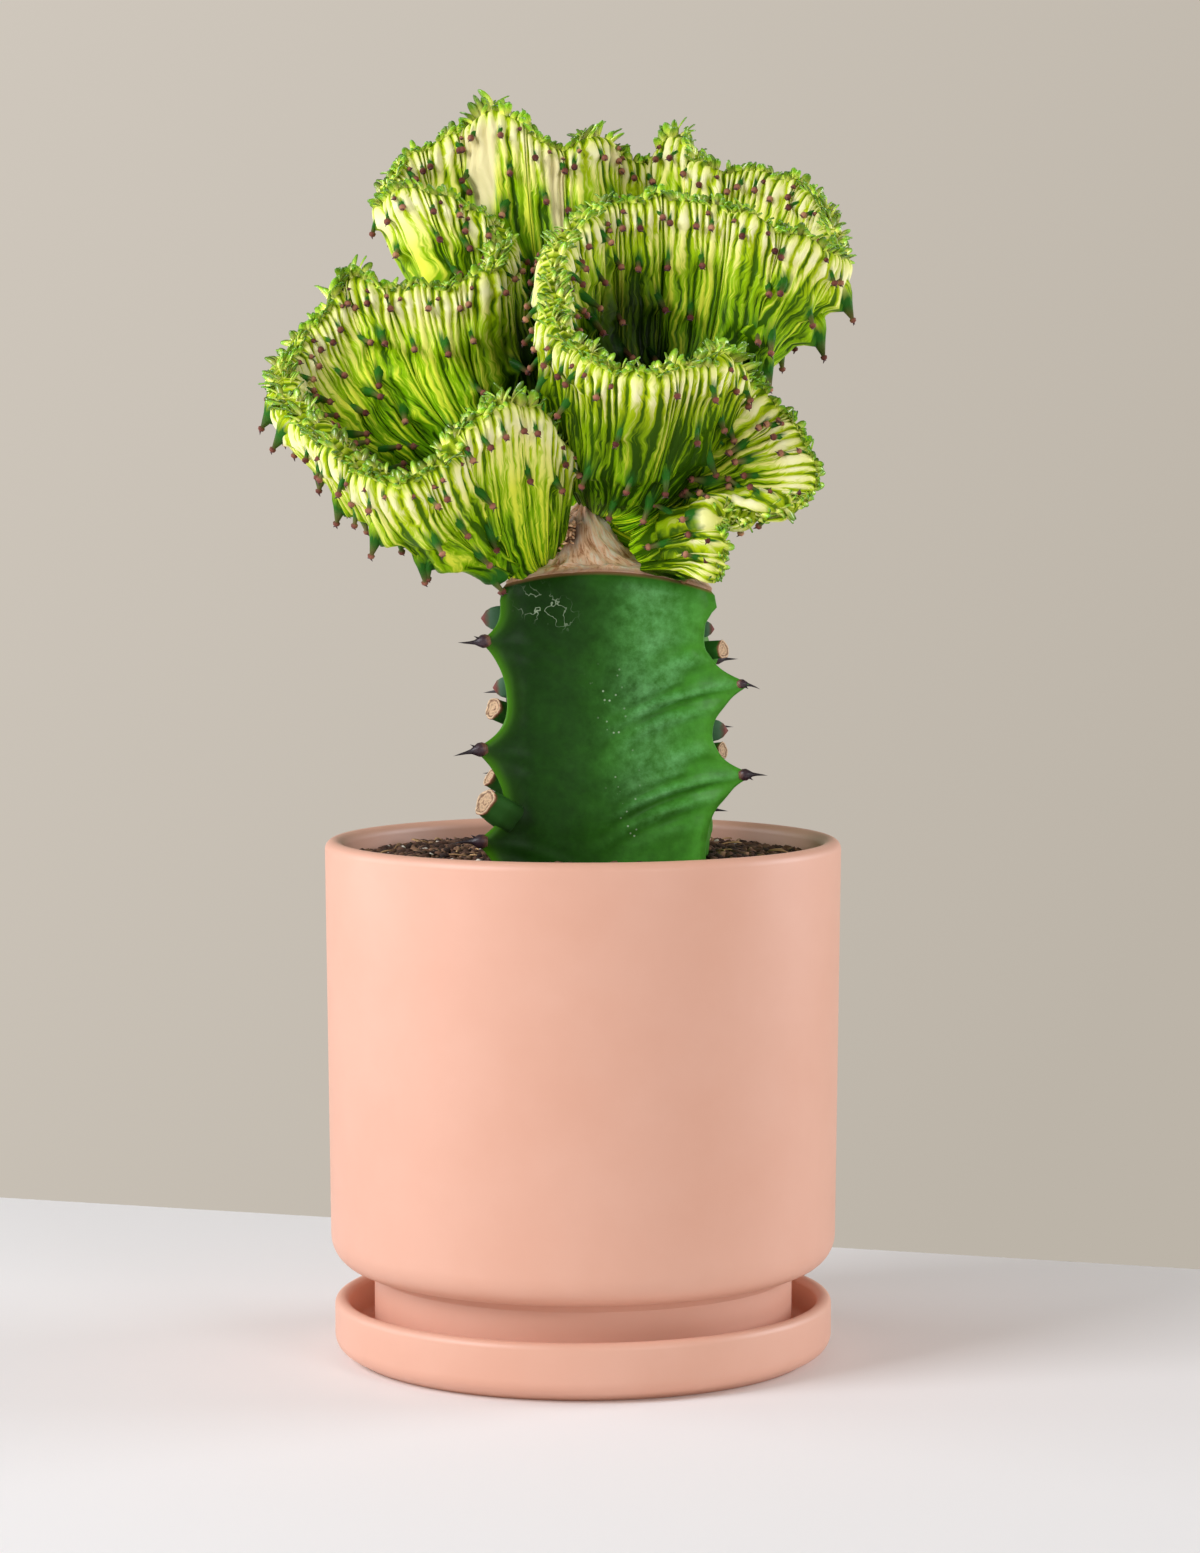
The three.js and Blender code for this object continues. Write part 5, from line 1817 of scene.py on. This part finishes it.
@dataclass
class TurnedCeramic:
    """A pot and its saucer, thrown and glazed: profiles turned about the upright axis."""

    segments: int = 160
    pot_radius: float = 70.0
    pot_low_radius: float = 68.8
    pot_top: float = 141.0
    pot_wall: float = 5.0
    pot_body_bottom: float = 24.5
    pot_foot_radius: float = 57.0
    pot_floor: float = 12.0
    pot_edge: float = 9.0
    drain_radius: float = 7.0
    saucer_radius: float = 67.8
    saucer_height: float = 16.0
    saucer_rim: float = 4.0
    saucer_floor: float = 5.0
    saucer_foot_radius: float = 62.0
    saucer_edge: float = 5.0

    @staticmethod
    def arc(x: float, z: float, radius: float, start: float, stop: float, steps: int) -> list:
        """Points of an arc in the profile's plane, angles in degrees."""
        turns = np.radians(np.linspace(start, stop, steps + 1))
        return [(x + radius * math.cos(a), z + radius * math.sin(a)) for a in turns]

    def spin(self, name: str, profile: list) -> Object:
        """Turn a profile about the upright axis.

        Args:
            name: The piece's name.
            profile: Radius and height pairs; it starts and ends on one point, or on the axis.

        Returns:
            The piece.
        """
        bpy.ops.object.select_all(action="DESELECT")
        mesh = bpy.data.meshes.new(name)
        piece = bpy.data.objects.new(name, mesh)
        bpy.context.scene.collection.objects.link(piece)
        bpy.context.view_layer.objects.active = piece
        piece.select_set(True)
        mesh.from_pydata([(r * MM, 0, z * MM) for r, z in profile],
                         [(i, i + 1) for i in range(len(profile) - 1)], [])
        bpy.ops.object.mode_set(mode="EDIT")
        bpy.ops.mesh.select_all(action="SELECT")
        bpy.ops.mesh.spin(steps=self.segments, angle=FULL_TURN, center=(0, 0, 0), axis=(0, 0, 1))
        bpy.ops.mesh.select_all(action="SELECT")
        bpy.ops.mesh.remove_doubles(threshold=0.01 * MM)
        bpy.ops.mesh.normals_make_consistent(inside=False)
        bpy.ops.object.mode_set(mode="OBJECT")
        bpy.ops.object.shade_smooth_by_angle(angle=math.radians(40))
        return piece

    def pot(self) -> Object:
        """Model the pot.

        Returns:
            The piece.
        """
        lip = self.pot_wall / 2
        inner = self.pot_radius - self.pot_wall
        edge = self.pot_edge
        return self.spin("pot_body", [
            (self.drain_radius, self.saucer_floor), (self.pot_foot_radius - 1, self.saucer_floor),
            (self.pot_foot_radius, self.saucer_floor + 1), (self.pot_foot_radius, self.pot_body_bottom - 0.6),
            *self.arc(self.pot_low_radius - edge, self.pot_body_bottom + edge, edge, -82, 0, 12),
            *self.arc(self.pot_radius - lip, self.pot_top - lip, lip, 0, 180, 12),
            (inner, self.pot_body_bottom + 14), (self.pot_foot_radius - 5, self.pot_floor),
            (self.drain_radius, self.pot_floor), (self.drain_radius, self.saucer_floor)])

    def saucer(self) -> Object:
        """Model the saucer.

        Returns:
            The piece.
        """
        lip = self.saucer_rim / 2
        inner = self.saucer_radius - self.saucer_rim
        edge = self.saucer_edge
        return self.spin("saucer_dish", [
            (0, 0), (self.saucer_foot_radius, 0), (self.saucer_foot_radius + 0.6, 0.5),
            *self.arc(self.saucer_radius - edge, edge + 1.2, edge, -58, 0, 8),
            *self.arc(self.saucer_radius - lip, self.saucer_height - lip, lip, 0, 180, 12),
            *self.arc(inner - 3, self.saucer_floor + 3, 3, 0, -90, 5), (0, self.saucer_floor)])


@dataclass
class Studio:
    """Table, backdrop tone, soft lights and the camera where the photograph was taken from."""

    focal_px: float = 4270.0
    camera_mm: tuple = (4.6, -1155.0, 248.7)
    pitch_deg: float = 4.5
    table: str = "#f1f0ef"
    backdrop: tuple = ("#cfc7bc", "#bcb4a8")
    back_left_mm: float = 223.0
    back_right_mm: float = 126.0
    back_span_mm: float = 300.0
    table_half: float = 3000.0
    table_thick: float = 30.0
    zenith_share: float = 0.4
    lamps: tuple = (("left_soft_box", (-1.15, -0.75, 0.95), (0, 0, 0.16), 0.8, 20.0, "#f6f8ff"),
                    ("front_right_fill", (0.85, -1.35, 0.6), (0, 0, 0.2), 0.5, 5.0, "#f8faff"),
                    ("left_rim", (-1.25, 0.3, 0.45), (0, 0, 0.12), 0.7, 5.0, "#f6f8ff"),
                    ("right_rim", (1.25, 0.25, 0.5), (0, 0, 0.12), 0.7, 9.5, "#f6f8ff"))

    def camera(self) -> None:
        """Stand the camera where the photograph was taken from."""
        data = bpy.data.cameras.new("camera")
        data.sensor_width = FILM_MM
        data.lens = self.focal_px / PHOTO_HEIGHT_PX * FILM_MM
        camera = bpy.data.objects.new("camera", data)
        camera.location = [v * MM for v in self.camera_mm]
        camera.rotation_euler = (math.radians(90 - self.pitch_deg), 0, 0)
        bpy.context.scene.collection.objects.link(camera)
        bpy.context.scene.camera = camera

    def floor(self) -> None:
        """Lay the table top, whose far edge shows behind the pot."""
        slope = (self.back_right_mm - self.back_left_mm) / self.back_span_mm
        middle = (self.back_left_mm + self.back_right_mm) / 2
        far = self.table_half
        corners = [(-far, -far), (far, -far), (far, middle + slope * far), (-far, middle - slope * far)]
        points = np.array([(x, y, z) for z in (0.0, -self.table_thick) for x, y in corners])
        faces = [[0, 1, 2, 3], [7, 6, 5, 4], [0, 4, 5, 1], [1, 5, 6, 2], [2, 6, 7, 3], [3, 7, 4, 0]]
        floor = new_piece("table_top", points, faces)
        floor.data.shade_flat()
        floor.data.materials.append(StudioPaper("matt_white_table", self.table).material())

    def lamp(self, name: str, place: tuple, aim: tuple, size: float, power: float, colour: str) -> None:
        """Hang a square soft box that the camera doesn't see.

        Args:
            name: Its name.
            place: Where it hangs, in metres.
            aim: The point it faces.
            size: Its side in metres.
            power: Its power in watts.
            colour: Its light as hex.
        """
        data = bpy.data.lights.new(name, "AREA")
        data.size = size
        data.energy = power
        data.color = linear(colour)[:3]
        lamp = bpy.data.objects.new(name, data)
        lamp.location = place
        lamp.rotation_mode = "QUATERNION"
        lamp.rotation_quaternion = (Vector(aim) - Vector(place)).to_track_quat("-Z", "Y")
        lamp.visible_camera = False
        bpy.context.scene.collection.objects.link(lamp)

    def room(self) -> None:
        """Give the room its tone: lighter to the upper left, and darker overhead for shade in folds."""
        world = bpy.data.worlds.new("studio")
        world.use_nodes = True
        tree = world.node_tree
        add = partial(add_node, tree)
        way = add("TexCoord", out="Generated")
        slant = add("VectorMath", {0: way, 1: (2.4, 0.0, -1.6)}, out="Value", operation="DOT_PRODUCT")
        share = add("MapRange", {"Value": slant, "From Min": -0.5, "From Max": 0.5})
        left, right = (linear(tone) for tone in self.backdrop)
        height = add("SeparateXYZ", {0: way}, out="Z")
        fall = add("MapRange", {"Value": height, "From Min": 0.18, "From Max": 0.45, "To Min": 1.0,
                                "To Max": self.zenith_share})
        ground = tree.nodes["Background"]
        tone = add("Mix", {0: share, 6: left, 7: right}, **COLOURS)
        tree.links.new(tone, ground.inputs["Color"])
        tree.links.new(fall, ground.inputs["Strength"])
        bpy.context.scene.world = world

    def build(self) -> None:
        """Set up everything round the object."""
        self.camera()
        self.floor()
        self.room()
        for lamp in self.lamps:
            self.lamp(*lamp)
        bpy.context.scene.view_settings.view_transform = "Standard"


def build_ceramics() -> None:
    """Build the pot and the saucer."""
    ceramics = TurnedCeramic()
    place_piece(ceramics.pot(), "pot_ceramic", GlazedCeramic("satin_peach_glaze").material(), "pot")
    place_piece(ceramics.saucer(), "saucer_ceramic", GlazedCeramic("satin_peach_glaze_saucer").material(),
                "saucer")


def build_soil() -> None:
    """Build the soil and what lies on it."""
    soil = Soil()
    place_piece(soil.bed(), "soil", PottingSoil().material(), "soil")
    crumbs = GradedTissue("peat_crumbs", roughness=0.95, spread=0.45, stops=(
        (0.0, "#2b1a12"), (0.4, "#4a3024"), (0.75, "#6f4f3b"), (1.0, "#8d6c52")))
    grit = GradedTissue("white_grit", roughness=0.8, spread=0.15, stops=((0.0, "#d8cfc0"), (1.0, "#efe8da")))
    husk = GradedTissue("husk_fibre", roughness=0.9, spread=0.35, stops=((0.0, "#a07a50"), (1.0, "#c8a476")))
    loose = soil.scatter("soil_crumbs", count=2600, size=(0.5, 1.5), flat=0.7, long=1.3)
    place_piece(loose, "soil", crumbs.material())
    white = soil.scatter("soil_grit", count=90, size=(0.5, 1.2), flat=0.8, long=1.1)
    place_piece(white, "soil", grit.material())
    place_piece(soil.fibres(), "soil", husk.material())


def build_stock() -> Rootstock:
    """Build the rootstock with its spines, stumps and flaps.

    Returns:
        The rootstock, which the callus sits on.
    """
    stock, stumps = Rootstock(), Stumps()
    dark_horn = GradedTissue("dark_spine_horn", roughness=0.42, spread=0.3, stops=(
        (0.0, "#8a6450"), (0.1, "#6e4a40"), (0.22, "#3d2830"), (0.5, "#241720"), (1.0, "#150c14")))
    cut = GradedTissue("dried_cut_shoot", roughness=0.75, gloss=0.3, relief=0.34, spread=0.2, grain_mm=1.3,
                       stops=((0.0, "#2f6420"), (0.3, "#2f6a22"), (0.44, "#6d5a30"), (0.56, "#a86a54"),
                              (0.68, "#dcc09c"), (0.78, "#6d4c38"), (0.86, "#cfae8a"), (1.0, "#4a3024")))
    flap = GradedTissue("withered_leaf_flap", roughness=0.6, gloss=0.3, relief=0.12, spread=0.25,
                        grain_mm=1.0, stops=((0.0, "#2c5f2a"), (0.6, "#3f6f48"), (0.8, "#557a5e"),
                                             (0.92, "#7a4038")))
    place_piece(stock.piece(), "rootstock_skin", StockSkin().material(), "rootstock")
    place_piece(stock.spines(), "rootstock_skin", dark_horn.material())
    place_piece(stumps.shoots(), "rootstock_skin", cut.material())
    place_piece(stumps.leaves(), "rootstock_skin", flap.material())
    return stock


def build_callus(stock: Rootstock) -> None:
    """Build the graft's corky mound with its crumbs.

    Args:
        stock: The rootstock it sits on.
    """
    callus = GraftCallus(stock)
    chip = GradedTissue("cork_crumb", roughness=0.85, spread=0.35, stops=(
        (0.0, "#c79468"), (0.5, "#ecc79c"), (1.0, "#b07a4e")))
    place_piece(callus.piece(), "callus_cork", DryCork().material(), "graft_callus")
    place_piece(callus.chips(), "callus_cork", chip.material())


def build_crest() -> None:
    """Build the crest: sheet, neck, teeth, spines and frill."""
    sheet = CrestSheet()
    sheet.build()
    teeth = CrestTeeth(sheet)
    teeth.build()
    sheet.shape_relief()
    skin = CrestSkin().material()
    bristle = GradedTissue("mauve_brown_spine", roughness=0.5, spread=0.3, stops=(
        (0.0, "#6a3c3c"), (0.5, "#4a2430"), (1.0, "#27141b")))
    leaf = GradedTissue("young_leaf", roughness=0.24, gloss=0.8, relief=0.2, spread=0.55, grain_mm=0.8,
                        stops=((0.0, "#fbf8b4"), (0.34, "#e2ea68"), (0.62, "#92c22a"), (1.0, "#357810")))
    for strip in sheet.pieces():
        place_piece(strip, "crest_skin", skin, "crest")
    for part in CrestNeck(sheet).pieces():
        place_piece(part, "crest_skin", skin)
    tooth, spine = teeth.pieces()
    place_piece(tooth, "crest_skin", skin)
    place_piece(spine, "crest_skin", bristle.material())
    place_piece(CrestFrill(sheet).piece(), "crest_skin", leaf.material())


def main() -> None:
    """Build the object and the studio."""
    logging.basicConfig(level=logging.INFO, format="%(message)s")
    Studio().build()
    build_ceramics()
    build_soil()
    stock = build_stock()
    build_callus(stock)
    build_crest()


if __name__ == "__main__":
    main()
